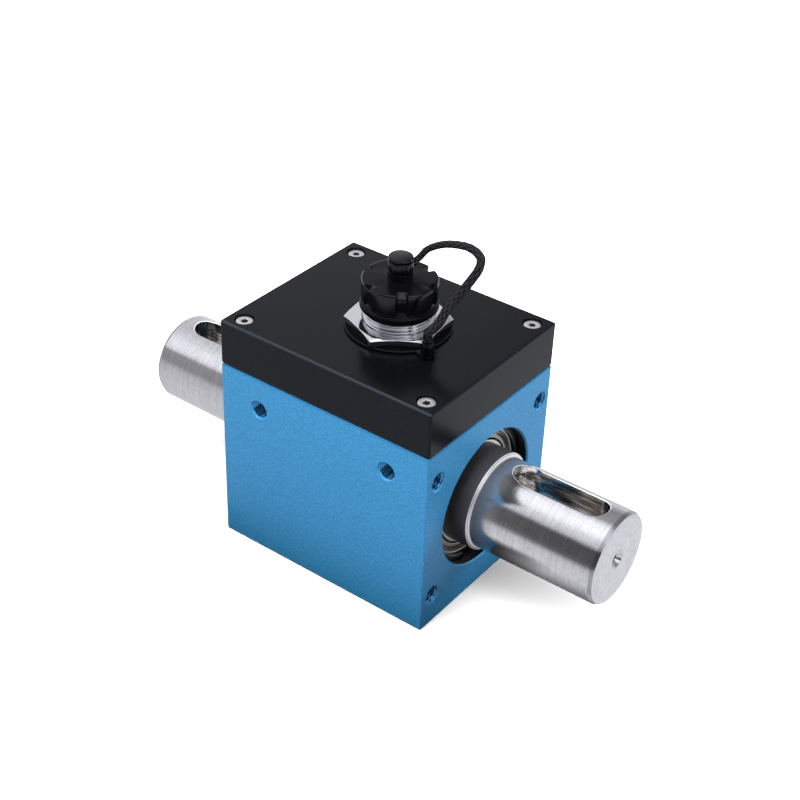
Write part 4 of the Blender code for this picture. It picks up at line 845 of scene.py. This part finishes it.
for number, ((x, y), turn) in enumerate(zip(COVER_SCREWS, (0.2, 0.75, 0.5, 1.0)), 1):
    screw = smooth(put_mesh("lobed_screw_%d" % number, *screw_surface(x, y, turn)))
    dress(screw, STAINLESS, "case", "stainless_steel", "cover_screw_%d" % number)
print("screw heads at", COVER_SCREWS)

# %% [markdown]
# ## The shaft
# Turned from one bar, 25 mm across where it leaves the case, with bearing seats, shoulders and a
# thin neck inside where the torque is measured. Both ends have a centre hole and a keyway. The cutter
# went in first at the end near the block, which left a small step in the keyway's wall and floor.

# %% Turn the shaft and mill its keyways
BAR_RADIUS = 12.5
SHAFT_HALF = [
    (66.0, 0.0), (66.6, 1.2), (70.5, 1.2), (71.65, 2.35), (72.0, 2.7), (72.0, 12.0), (70.9, BAR_RADIUS),
    (21.7, BAR_RADIUS), (21.7, 13.75), (19.3, 13.75), (19.3, 11.0),
]
NECK = [
    (10.1, 11.0), (10.1, 9.5), (9.5, 8.1), (8.1, 7.5), (-6.9, 7.5), (-8.3, 8.1), (-8.9, 9.5), (-8.9, 11.0),
]
REST_TURN = math.radians(-2.9)
RIM = 0.2
front_half = soften(SHAFT_HALF, [0, 0, 0, 0, 0.1, 0.12, 0.15, 0.1, 0.2, 0.2, 0.1], 3)
rear_half = front_half[::-1] * (-1, 1)
shaft = turned("shaft", np.concatenate([front_half, NECK, rear_half]), "x", 192, closed=False)
shaft.data.materials.append(TURNED)


def slot(start, end, width, sideways, grow=0.0):
    """Two half circles of half the width plus grow, round the ends of a slot from start to end."""
    angle = np.linspace(-math.pi / 2, math.pi / 2, 25)
    arc = np.column_stack([np.cos(angle), np.sin(angle)]) * (width / 2 + grow)
    return np.concatenate([arc + (end - width / 2, sideways), -arc + (start + width / 2, sideways)])


def filed_rim(name, sizes, top):
    """A slot's outline spread outwards on its way up. Grown by g, it lies g - RIM above the bar,
    whose own height over the axis is sqrt(bar radius^2 - y^2)."""
    rings = []
    for grow in (-0.5, RIM + 0.3):
        outline = slot(*sizes, grow)
        bar = np.sqrt(BAR_RADIUS ** 2 - outline[:, 1] ** 2) + SHAFT_LINE[2]
        rings.append(np.column_stack([outline, bar + grow - RIM]))
    middle = outline.mean(0)
    low, high = (np.broadcast_to((*middle, height), rings[0].shape) for height in (37.0, top))
    lid = rings[1] * (1, 1, 0) + (0, 0, top)
    return put_mesh(name, np.array([low, *rings, lid, high]), grid_faces(5, len(outline)))


def keyway_tool(name, side):
    """A slot's outline carried up out of the shaft, at its inner end a round pocket, a little
    deeper and further over, and the filed rim of both."""
    long_sizes, plunge_sizes = (41.6, 67.5, 8.2, 0.0), (40.3, 48.6, 7.9, 0.38)
    parts = [
        plate(name, slot(*long_sizes), 35.5, 45.0),
        plate(name + "_plunge", slot(*plunge_sizes), 35.1, 45.0),
        filed_rim(name + "_rim", long_sizes, 46.0),
        filed_rim(name + "_plunge_rim", plunge_sizes, 46.5),
    ]
    for part, finish in zip(parts, (MILLED, MILLED, RIM_HIGHLIGHT, RIM_HIGHLIGHT)):
        part.data.materials.append(finish)
    long_slot = carve(*parts, operation="UNION")
    turn = Matrix.Rotation(REST_TURN, 4, "X")
    axis = Matrix.Translation(SHAFT_LINE * MM)
    long_slot.data.transform(axis @ turn @ Matrix.Scale(side, 4, (1, 0, 0)) @ axis.inverted())
    if side < 0:
        long_slot.data.flip_normals()
    return long_slot


carve(shaft, keyway_tool("front_keyway", 1), keyway_tool("rear_keyway", -1))
flat_shading(shaft)
dress(shaft, TURNED, "rotor", "ground_steel", "torsion_shaft")
print("shaft:", len(shaft.data.polygons), "faces,", [m.name for m in shaft.data.materials])

# %% [markdown]
# ## Collars and bearings
# A polished sleeve is pressed on each side up to its bearing. It starts at full diameter, ends in a
# bright chamfer, and a small fillet takes it down to the shaft. Behind it, in the recess, lie the
# bearing's rings, its pressed shield and the spring ring that holds it.

# %% Rings of the bearings
COLLAR = [(29.1, 12.6), (29.1, 13.5), (35.9, 13.5), (36.5, 12.95), (36.6, 12.6)]
COLLAR_EDGES = [0, 0.1, 0.12, 0.08, 0]
INNER_RING = [
    (29.0, 12.6), (29.0, 14.4), (26.9, 14.4), (26.4, 13.85), (24.6, 13.85), (24.1, 14.4),
    (22.0, 14.4), (22.0, 12.6),
]
OUTER_RING = [
    (29.0, 17.1), (29.0, 18.5), (22.0, 18.5), (22.0, 16.7), (24.1, 16.7), (24.6, 17.25),
    (26.4, 17.25), (26.9, 16.7), (28.4, 16.7), (28.4, 17.1),
]
SHIELD_RING = [
    (28.5, 14.75), (28.8, 14.75), (28.9, 14.9), (28.9, 15.7), (28.72, 16.3), (28.72, 16.9), (28.5, 16.9),
]
ENDS = (("front", 1), ("rear", -1))
RINGS = [
    # name, profile, rounding and its steps, columns, sharp angle, finish, body, slot, solid
    ("collar_", COLLAR, COLLAR_EDGES, 3, 160, 32, SLEEVE, "rotor", "polished_steel", "shaft_collar_"),
    ("inner_ring_", INNER_RING, 0.25, 3, 128, 50, RACE, "rotor", "bearing_steel", "bearing_inner_ring_"),
    ("outer_ring_", OUTER_RING, 0.15, 3, 128, 50, RACE, "case", "bearing_steel", "bearing_outer_ring_"),
    ("shield_", SHIELD_RING, 0.1, 2, 128, 60, SHIELD, "case", "shield_steel", "bearing_shield_"),
]
for end, side in ENDS:
    for name, profile, rounding, curve, columns, sharp, finish, body, part_slot, solid in RINGS:
        profile = soften(profile, rounding, curve, True)
        ring = turned(name + end, profile, "x", columns, mirror=side < 0)
        dress(smooth(ring, sharp), finish, body, part_slot, solid + end)
print("rings at each end:", [row[0] + "*" for row in RINGS])


# %% A spring ring, open at the bottom
def spring_ring(name, side, steps=121):
    """A flat bar bent round: a rectangle's four corners carried along an arc that leaves the
    lowest 14 degrees on either side open, closed at both ends."""
    angle = np.linspace(-math.pi / 2 + 0.25, 1.5 * math.pi - 0.25, steps)
    section = np.array([(29.35, 17.85), (29.35, 19.15), (30.25, 19.15), (30.25, 17.85)])
    height, radius = section.T[:, :, None]
    points = around(side * height, radius, angle, "x").transpose(1, 0, 2)
    caps = [around(side * height.mean(), radius.mean(), angle[i], "x") for i in (0, -1)]
    points = np.concatenate([[[caps[0]] * 4], points, [[caps[1]] * 4]])
    return put_mesh(name, points, grid_faces(len(points), 4))


for end, side in ENDS:
    spring = smooth(spring_ring("spring_ring_" + end, side), 40)
    dress(spring, SPRING, "case", "bearing_steel", "retaining_ring_" + end)
print("spring ring:", len(spring.data.polygons), "faces")

# %% [markdown]
# ## The receptacle and its nut
# A threaded barrel comes up through the cover, held by a thin hexagon nut. Above the nut a few
# turns of its thread show under the cap. The thread is in the barrel's own grid: where a row has a
# pitch, its radius follows the thread wave.

# %% Threaded barrel
def thread_rows(low, high, root, crest, pitch, angle, rows_a_turn=14):
    """Rows that climb with the thread: a row's height is low + pitch * (row + angle / turn), held
    between low and high, and its radius is a rounded ridge of the row's own phase. The ridge fades
    at both ends. After a whole turn each row meets the one a pitch higher, so the seam closes."""
    phase = np.arange(-1, (high - low) / pitch + 1 / rows_a_turn, 1 / rows_a_turn)[:, None]
    height = np.clip(low + pitch * (phase + angle / math.tau), low, high)
    ridge = np.clip((1 - np.abs(2 * (phase % 1.0) - 1) - 0.1) / 0.7, 0, 1)
    ridge = ridge * ridge * (3 - 2 * ridge)
    fade = np.clip(np.minimum(height - low, high - height) / (0.4 * pitch), 0, 1)
    return height, root + (crest - root) * ridge * fade


def barrel_surface(steps=144):
    """A closed section with two threads, M18 by 1 below and M16 by 0.75 above, in one grid. The last
    column repeats the first one's angle a whole turn on."""
    angle = np.linspace(0, math.tau, steps + 1)[None, :]
    foot = np.array([(57.6, 6.7), (57.6, 8.0), (60.6, 8.0), (60.6, 11.0), (62.4, 11.0), (62.4, 8.45)])
    waist = np.array([(72.5, 8.4), (72.7, 8.1), (72.9, 7.55)])
    rim = np.array([
        (78.2, 7.55), (78.5, 7.3), (78.5, 6.85), (78.35, 6.7), (70.5, 6.7), (70.4, 6.6), (70.4, 6.0),
        (69.7, 6.0), (69.7, 6.7), (57.6, 6.7),
    ])
    plain = [(part[:, :1] + 0 * angle, part[:, 1:] + 0 * angle) for part in (foot, waist, rim)]
    lower = thread_rows(62.5, 72.4, 8.42, 9.0, 1.0, angle)
    upper = thread_rows(73.2, 78.1, 7.55, 8.0, 0.75, angle)
    height, radius = (np.concatenate(rows) for rows in zip(plain[0], lower, plain[1], upper, plain[2]))
    return around(height, radius, angle, "z"), grid_faces(len(height), steps + 1, close_columns=False)


barrel = smooth(put_mesh("barrel", *barrel_surface()), 50)
dress(barrel, NICKEL, "case", "nickel_plate", "connector_shell")
key = plate("socket_key", round_rectangle(0.7, 0.75, 0.2), 70.4, 77.8, (CONNECTOR_LINE[0], 6.35))
dress(smooth(key), NICKEL, "case", "nickel_plate")
print("barrel:", len(barrel.data.polygons), "faces")


# %% Hexagon nut
def nut_surface(turn, flat=12.0, steps=24):
    """Rows across a hexagon nut. Its edge is flat / cos(angle from the nearest flat's middle). From
    the flats outwards the top comes down by 0.35 for each millimetre, which turns the corners down."""
    part = (np.arange(6 * steps) % steps) / steps - 0.5
    edge = flat / np.cos(part * math.pi / 3)
    angle = full_turn(6 * steps) + turn
    shares = np.linspace(0, 1, 4)
    out = (flat - 0.1) + shares[:, None] * (edge - flat + 0.1)
    drop = 0.35 * np.maximum(out - flat - 0.25, 0) + 0.1 * shares[:, None] ** 3
    low, high = 67.8, 69.8
    inner = np.array([(low + 0.3, 9.1), (high - 0.35, 9.1), (high, 9.5)])
    inner_height, inner_radius = (np.repeat(c[:, None], 6 * steps, 1) for c in inner.T)
    foot = np.ones((1, 6 * steps))
    heights = np.concatenate([inner_height, high - drop, (low + 0.4 * drop)[::-1], low * foot])
    radii = np.concatenate([inner_radius, out, out[::-1], 9.4 * foot])
    return around(heights, radii, angle, "z"), grid_faces(len(heights), 6 * steps, True)


nut = flat_shading(put_mesh("hexagon_nut", *nut_surface(math.radians(36.6))), 14)
dress(nut, NICKEL, "case", "nickel_plate", "connector_nut")
print("nut:", len(nut.data.polygons), "faces")

# %% [markdown]
# ## The cap
# Six raised grip panels with rounded corners stand on the skirt, and the channels between them bite
# into the top. The whole cap is one grid. Each row has two places, one on a panel and one in a
# channel, and a mask that is 1 in the channels chooses between them, softly at the edges.

# %% Cap as one surface
CAP_ROWS = [
    # height and radius; where a channel differs, its height and radius as well
    (87.0, 0.0), (87.0, 2.7), (86.93, 2.95), (86.75, 3.13), (86.5, 3.2), (86.2, 3.15), (86.1, 1.9),
    (82.9, 1.9), (82.9, 3.05), (82.8, 3.2), (81.2, 3.2), (80.95, 3.28), (80.88, 3.6), (80.9, 7.3),
    (80.9, 7.6, 80.86, 7.5), (80.9, 8.2, 80.45, 7.8), (80.9, 8.9, 80.1, 8.15), (80.88, 9.2, 79.85, 8.5),
    (80.8, 9.45, 79.6, 8.75), (80.65, 9.62, 79.3, 8.86), (80.4, 9.7, 79.0, 8.9), (79.6, 9.7, 78.4, 8.9),
    (78.6, 9.7, 77.6, 8.9), (77.6, 9.7, 76.9, 8.9), (76.6, 9.7, 76.2, 8.9), (75.8, 9.7, 75.6, 8.92),
    (75.35, 9.7, 75.25, 8.98), (75.1, 9.62, 75.05, 9.05), (74.95, 9.45, 74.9, 9.15),
    (74.85, 9.3, 74.75, 9.28), (74.6, 9.38, 74.55, 9.42), (74.4, 9.6, 74.35, 9.62), (74.2, 9.85),
    (74.0, 9.97), (73.8, 10.0), (73.2, 10.0), (73.05, 9.95), (73.0, 9.8), (73.0, 8.5), (73.2, 8.3),
    (79.7, 8.3), (79.7, 0.0),
]


def cap_surface(steps=432, turn=math.radians(10.0)):
    """A channel lies every sixth of a turn. Its half width is 1.3 mm and grows to 1.9 near the
    panels' lower corners. The mask is a smooth step of the distance from the channel's middle."""
    rows = np.array([(row * 2)[:4] for row in CAP_ROWS])
    panel_height, panel_radius, low_height, low_radius = rows.T[:, :, None]
    angle = full_turn(steps)
    sector = math.tau / 6
    aside = ((angle - turn + sector / 2) % sector - sector / 2) * 9.4
    flare = np.clip((76.4 - panel_height) / 1.4, 0, 1)
    half = 1.3 + 0.6 * (1 - np.sqrt(1 - flare ** 2 * 0.999))
    edge = np.clip((half + 0.16 - np.abs(aside)) / 0.32, 0, 1)
    mask = edge * edge * (3 - 2 * edge)
    height = panel_height + (low_height - panel_height) * mask
    radius = panel_radius + (low_radius - panel_radius) * mask
    return around(height, radius, angle, "z"), grid_faces(len(CAP_ROWS), steps)


cap = smooth(put_mesh("screw_cap", *cap_surface()), 45)
dress(cap, NYLON, "cap", "black_plastic", "protective_cap")
print("cap:", len(cap.data.polygons), "faces")


# %% The eye that holds the cord on the cap's stub
EYE = [(83.2, 2.2), (83.2, 3.25), (85.8, 3.25), (85.8, 2.2)]
eye = turned("cord_eye", soften(EYE, [0.2, 0.35, 0.35, 0.2], 4, True), "z", 64)
eye.data.materials.append(NYLON)
LUG_TURN = math.radians(62.0)
LUG_HEIGHT = 84.5


def lug_surface(steps=20):
    """A short sleeve that leaves the eye sideways: rings of a radius that narrows outwards."""
    along = np.array([2.6, 2.6, 3.4, 4.1, 4.3, 4.3])[:, None]
    radius = np.array([0.0, 1.15, 1.1, 1.0, 0.85, 0.0])[:, None]
    across, over = radius * np.cos(full_turn(steps)), radius * np.sin(full_turn(steps))
    x = along * math.cos(LUG_TURN) - across * math.sin(LUG_TURN)
    y = along * math.sin(LUG_TURN) + across * math.cos(LUG_TURN)
    return np.stack([x, y, over + LUG_HEIGHT], -1) + CONNECTOR_LINE, grid_faces(6, steps)


lug = put_mesh("eye_lug", *lug_surface())
lug.data.materials.append(NYLON)
carve(eye, lug, operation="UNION")
dress(smooth(eye, 40), NYLON, "cap_eye", "black_plastic", "lanyard_eye")
print("eye:", len(eye.data.polygons), "faces")

# %% [markdown]
# ## The cord
# A short braided cord loops from the eye to a flat ring under the nut. Its route is a smooth curve
# through a dozen points, and the braid is real: the tube's radius rises where a strand runs, and
# strands of the two directions cross over and under each other.

# %% The cord's route
CORD_ROUTE = np.array([
    (4.1, 5.6, 20.9), (7.7, 6.3, 23.1), (11.6, 6.3, 24.5), (15.6, 6.0, 25.3), (18.7, 5.5, 24.9),
    (20.2, 4.8, 23.8), (20.4, 3.5, 21.7), (19.0, 2.0, 18.4), (17.3, 0.0, 14.7), (16.2, -2.5, 12.0),
    (15.5, -5.0, 8.7),
]) + CONNECTOR_LINE + (0.0, 0.0, COVER_TOP)
CORD_DIAMETER = 2.3
THICKENS_OVER = 32.0
TAB_TURN = math.radians(-26.7)
rise = np.array([math.cos(LUG_TURN), math.sin(LUG_TURN), 1.0]) / math.sqrt(2)
in_lug = around(LUG_HEIGHT, 3.7, LUG_TURN, "z")
start = around(LUG_HEIGHT, 4.2, LUG_TURN, "z") + rise * 1.45
end = around(71.5, 16.0, TAB_TURN, "z")
KNOTS = np.array([in_lug, start, *CORD_ROUTE, end + (0, 0, 2.3), end])


def through(knots, spacing):
    """Points at an even spacing along a curve through all the knots. Between knots b and c, with
    neighbours a and d, it is half of 2b + (c - a) t + (2a - 5b + 4c - d) t^2 + (3b - a - 3c + d) t^3."""
    padded = np.concatenate([[2 * knots[0] - knots[1]], knots, [2 * knots[-1] - knots[-2]]])
    a, b, c, d = (padded[i:len(padded) - 3 + i][:, None] for i in range(4))
    t = np.linspace(0, 1, 40, endpoint=False)[None, :, None]
    square, cube = 2 * a - 5 * b + 4 * c - d, 3 * b - a - 3 * c + d
    curve = 0.5 * (2 * b + (c - a) * t + square * t ** 2 + cube * t ** 3)
    curve = np.concatenate([curve.reshape(-1, 3), knots[-1:]])
    reach = np.concatenate([[0.0], np.cumsum(np.linalg.norm(np.diff(curve, axis=0), axis=1))])
    count = max(2, int(round(reach[-1] / spacing)))
    even = np.linspace(0, reach[-1], count + 1)
    return np.column_stack([np.interp(even, reach, curve[:, k]) for k in range(3)]), reach[-1]


cord_line, cord_length = through(KNOTS, 0.12)
print("cord: %.1f mm long in %d points" % (cord_length, len(cord_line)))


# %% The braid
def cross_frames(line):
    """Two directions across a curve at each point: the cross product of its own direction and the Y
    axis, which the cord never follows, and the cross product of those two."""
    ahead = np.gradient(line, axis=0)
    ahead /= np.linalg.norm(ahead, axis=1, keepdims=True)
    across = np.cross(ahead, (0.0, 1.0, 0.0))
    across /= np.linalg.norm(across, axis=1, keepdims=True)
    return across, np.cross(ahead, across)


def braid_surface(line, diameter, steps=96):
    """A tube whose radius is the middle radius plus the higher of two families of strands. One
    family climbs to the right and one to the left, half the carriers each. Across a strand its height
    is the square root of |cos|, and it goes over and under the other family by a sine along itself.
    The tube thickens from its start, by a smooth step of the distance."""
    across, over = cross_frames(line)
    reach = np.concatenate([[0.0], np.cumsum(np.linalg.norm(np.diff(line, axis=0), axis=1))])[:, None]
    angle = full_turn(steps)[None, :]
    right_count = CARRIERS / 2 * angle + reach / LAY * math.tau * 2
    left_count = CARRIERS / 2 * angle - reach / LAY * math.tau * 2
    right_strand = np.sqrt(np.abs(np.cos(right_count))) + 0.6 * np.sin(left_count)
    left_strand = np.sqrt(np.abs(np.cos(left_count))) - 0.6 * np.sin(right_count)
    bump = np.maximum(right_strand, left_strand)
    share = np.clip(reach / THICKENS_OVER, 0, 1)
    middle = diameter / 2 * (0.74 + 0.28 * share * share * (3 - 2 * share))
    radius = middle + 0.10 * (bump - 1.2)
    points = line[:, None] + radius[:, :, None] * (
        across[:, None] * np.cos(angle)[:, :, None] + over[:, None] * np.sin(angle)[:, :, None]
    )
    return points, reach.ravel()


def tube_map(reach, columns):
    """Two numbers for each corner of a tube's quads: millimetres along it and turns round it. The
    last column ends at one whole turn, not at 0, so the map has no seam in its faces."""
    i, j = np.meshgrid(np.arange(len(reach) - 1), np.arange(columns), indexing="ij")
    along = np.stack([reach[i], reach[i], reach[i + 1], reach[i + 1]], -1)
    turns = np.stack([j, j + 1, j + 1, j], -1) / columns
    return np.stack([along, turns], -1)


braid_points, braid_reach = braid_surface(cord_line, CORD_DIAMETER)
ends = [np.broadcast_to(cord_line[i], braid_points[:1].shape) for i in (0, -1)]
cord_points = np.concatenate([ends[0], braid_points, ends[1]])
cord_map = tube_map(np.concatenate([braid_reach[:1], braid_reach, braid_reach[-1:]]), cord_points.shape[1])
cord = put_mesh("lanyard", cord_points, grid_faces(*cord_points.shape[:2]), cord_map)
smooth(cord, 60)
cord.data.materials.append(BRAID)
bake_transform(cord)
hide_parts("lanyard_cord")
print("braid:", len(cord.data.polygons), "faces")

# %% [markdown]
# ## The ring under the nut
# A thin moulded ring lies under the nut. At one side a tab carries a short sleeve that grips the
# end of the cord.

# %% Ring, tab and sleeve
RING = [(67.1, 9.3), (67.1, 13.75), (67.7, 13.75), (67.7, 9.3)]
holder = turned("cord_ring", soften(RING, [0.05, 0.22, 0.22, 0.05], 3, True), "z", 128)
holder.data.materials.append(RING_NYLON)
tab = plate("tab", round_rectangle(3.9, 2.0, 1.98, 10), 67.12, 67.68)
to_side, to_connector = Matrix.Translation((14.0 * MM, 0, 0)), Matrix.Translation(CONNECTOR_LINE * MM)
tab.data.transform(to_connector @ Matrix.Rotation(TAB_TURN, 4, "Z") @ to_side)
SLEEVE_PROFILE = [(67.3, 0.0), (67.3, 1.75), (67.9, 1.7), (69.6, 1.5), (71.0, 1.5), (71.2, 1.35), (71.2, 0.0)]
ferrule = turned("sleeve", SLEEVE_PROFILE, "own", 32, closed=False)
ferrule.data.transform(Matrix.Translation((end[0] * MM, end[1] * MM, 0)))
for extra in (tab, ferrule):
    extra.data.materials.append(RING_NYLON)
carve(holder, tab, ferrule, operation="UNION")
dress(smooth(holder, 40), RING_NYLON, "case", "black_plastic", "lanyard_ring")
print("ring under the nut:", len(holder.data.polygons), "faces")

# %% [markdown]
# ## Finishes for the solids that stay
# The pieces inside the case and in the socket keep their solid shapes. Each gets its own finish
# through its material slots.

# %% Finish the rest
STAYING = {
    RUBBER: ["cover_gasket", "panel_seal", "cap_seal"],
    RACE: ["ball_cage_front", "ball_cage_rear"],
    TURNED: ["toothed_disc"],
    FOIL: ["strain_gauge_%d" % n for n in range(1, 5)],
    BOARD: ["rotor_board", "main_board"],
    PACKAGE: ["processor_chip", "amplifier_chip", "speed_pickup"],
    FERRITE: ["%s_core_%s" % (half, use) for half in ("rotor", "stator") for use in ("power", "signal")],
    WINDING: ["%s_coil_%s" % (half, use) for half in ("rotor", "stator") for use in ("power", "signal")],
    LEADS: ["wire_bundle"],
    NYLON: ["connector_insert"],
    STAINLESS: ["board_screw_%d" % n for n in range(1, 5)],
    GOLD: ["contact_pin_%d" % n for n in range(1, 7)],
}
for material, names in STAYING.items():
    for name in names:
        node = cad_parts[name]
        node.data.materials.clear()
        node.data.materials.append(material)
shown = {name for name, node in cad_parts.items() if not node.hide_render}
print("solids still shown:", len(shown), "unfinished:", sorted(shown - set(sum(STAYING.values(), []))))

# %% [markdown]
# ## Floor and light
# The sensor stands on a wide white table. Soft lamps from the front and from above light it, and
# they show in no reflection. What bright metal mirrors is a tent round the table instead: pale
# below, dark straight ahead, brightest overhead. Only mirror-like rays see it, so it can be shaped
# for the bands along the steel shaft without changing the light on the blue block.

# %% Tent for reflections
TENT_NEAR = np.array([
    # angle from the front horizon over the top, brightness to the front shaft, and to the rear one
    (-180, 0.85, 0.90), (-150, 0.60, 1.0), (-130, 0.30, 0.90), (-110, 0.20, 0.75), (-95, 0.30, 0.75),
    (-65, 0.66, 0.80), (-50, 0.86, 0.80), (-30, 0.86, 0.75), (-14, 0.74, 0.70), (-7, 0.42, 0.66),
    (-2, 0.16, 0.58), (8, 0.11, 0.36), (35, 0.10, 0.40), (39, 0.16, 0.90), (43, 0.60, 1.05),
    (50, 0.86, 1.20), (60, 1.05, 1.25), (70, 1.45, 1.15), (80, 1.55, 1.0), (96, 1.40, 0.85),
    (103, 1.00, 0.80), (112, 0.45, 0.75), (130, 0.38, 0.80), (150, 0.34, 0.80), (165, 0.56, 0.85),
    (180, 0.85, 0.90),
])


def tent_surface(rows=60, columns=360, size=3000.0):
    """A sphere: rows run from its +X pole to its -X pole, columns go round from the front horizon
    over the top. Each point's brightness is read off the table by its angle, between the front
    shaft's column and the rear one's by how far it lies towards -X."""
    polar = np.linspace(0, math.pi, rows)[:, None]
    angle = np.linspace(-math.pi, math.pi, columns, endpoint=False)[None, :]
    along, out = np.cos(polar), np.sin(polar)
    points = size * np.stack([along + 0 * angle, -out * np.cos(angle), out * np.sin(angle)], -1)
    degrees = np.degrees(angle) + 0 * polar
    front, rear = (np.interp(degrees, TENT_NEAR[:, 0], TENT_NEAR[:, k]) for k in (1, 2))
    under = np.clip(along / 0.3 + 0.6, 0, 1) * np.clip((-60 - degrees) / 20, 0, 1)
    front = front + (0.92 - front) * under
    share = np.clip((-0.38 - along) / 0.10, 0, 1)
    return points, front + (rear - front) * share


tent_points, tent_glow = tent_surface()
tent_mesh = bpy.data.meshes.new("tent")
tent_faces = grid_faces(*tent_points.shape[:2])
tent_mesh.from_pydata((tent_points.reshape(-1, 3) * MM).tolist(), [], tent_faces.tolist())
glow = tent_mesh.color_attributes.new("glow", "FLOAT_COLOR", "POINT")
glow_color = tent_glow.reshape(-1, 1) * np.array([[0.98, 0.985, 1.05, 1.0]])
glow.data.foreach_set("color", glow_color.astype(np.float32).ravel())
tent_finish = Finish("tent_glow", (0.0, 0.0, 0.0), 0.5, specular_ior_level=0.0, emission_strength=1.0)
tent_finish.put("Emission Color", tent_finish.node("ShaderNodeVertexColor", {"layer_name": "glow"}))
tent_finish.material.cycles.emission_sampling = "NONE"
tent_mesh.materials.append(tent_finish.material)
tent = add("tent", tent_mesh)
tent.visible_camera = tent.visible_diffuse = tent.visible_shadow = tent.visible_transmission = False
print("tent brightness from %.2f to %.2f" % (tent_glow.min(), tent_glow.max()))

# %% The table
floor = plate("floor", round_rectangle(4000.0, 4000.0, 10.0, 2), -30.0, -0.02)
paper = Finish("white_table", (0.40, 0.40, 0.42), 0.9, specular_ior_level=0.0, emission_strength=1.0)
seen = paper.node("ShaderNodeLightPath", {}, output="Is Camera Ray")
distance = paper.node("ShaderNodeVectorMath", {"operation": "LENGTH"}, paper.place, output="Value")
paper.put("Base Color", paper.blend(seen, (0.40, 0.40, 0.42), (0.97, 0.97, 0.975)))
paper.put("Emission Color", distance.above(0.065, 0.07) * seen)
floor.data.materials.append(paper.material)
floor.visible_glossy = False


def contact_shade(name, reach, strength):
    """A dark film on the table, fading from the block's foot outwards: its alpha falls with the
    length of what |x| and |y| have beyond the foot's half sizes."""
    film = plate(name, round_rectangle(160.0, 160.0, 10.0, 2), -0.01, 0.0)
    finish = Finish(name, (0.02, 0.02, 0.02), 0.5, 0.0, specular_ior_level=0.0)
    away, foot = finish.moved(), (HALF_LENGTH, HALF_WIDTH, 1000.0)
    for operation, values in (("ABSOLUTE", ()), ("SUBTRACT", (foot,)), ("MAXIMUM", ((0.0, 0.0, 0.0),))):
        away = finish.node("ShaderNodeVectorMath", {"operation": operation}, away, *values)
    away = finish.node("ShaderNodeVectorMath", {"operation": "LENGTH"}, away, output="Value")
    finish.put("Alpha", ((reach - away) / reach).most(0.0) * strength)
    film.data.materials.append(finish.material)
    film.visible_camera = film.visible_shadow = False
    return film


contact_shade("soft_shade", 65.0, 0.85).visible_glossy = False
contact_shade("near_shade", 16.0, 0.80).visible_diffuse = False


# %% Lamps and surroundings
def lamp(name, place, aim, size, power):
    """A square area lamp at a place in millimetres, turned to its aim, that no reflection shows."""
    light = bpy.data.lights.new(name, "AREA")
    light.shape = "RECTANGLE"
    light.size = light.size_y = size * MM
    light.energy = power
    holder = add(name, light)
    turn = (Vector(aim) - Vector(place)).to_track_quat("-Z", "Y").to_matrix().to_4x4()
    holder.matrix_world = Matrix.Translation(Vector(place) * MM) @ turn
    holder.visible_glossy = holder.visible_camera = False


lamp("front", (-10, -170, 330), (0, -27, 30), 200, 1.8)
lamp("right", (350, 400, 250), (33, 5, 30), 220, 2.6)
lamp("over", (40, 0, 900), (10, 0, 30), 800, 7.0)

world = bpy.data.worlds.new("surround")
bpy.context.scene.world = world
world.use_nodes = True
world_nodes, world_links = world.node_tree.nodes, world.node_tree.links
background = world_nodes["Background"]
background.inputs["Color"].default_value = (1.0, 1.0, 1.0, 1.0)
path = world_nodes.new("ShaderNodeLightPath")
level = world_nodes.new("ShaderNodeMapRange")
level.inputs["To Min"].default_value = 0.22
level.inputs["To Max"].default_value = 1.0
world_links.new(path.outputs["Is Camera Ray"], level.inputs["Value"])
world_links.new(level.outputs["Result"], background.inputs["Strength"])
bpy.context.scene.view_settings.view_transform = "Standard"
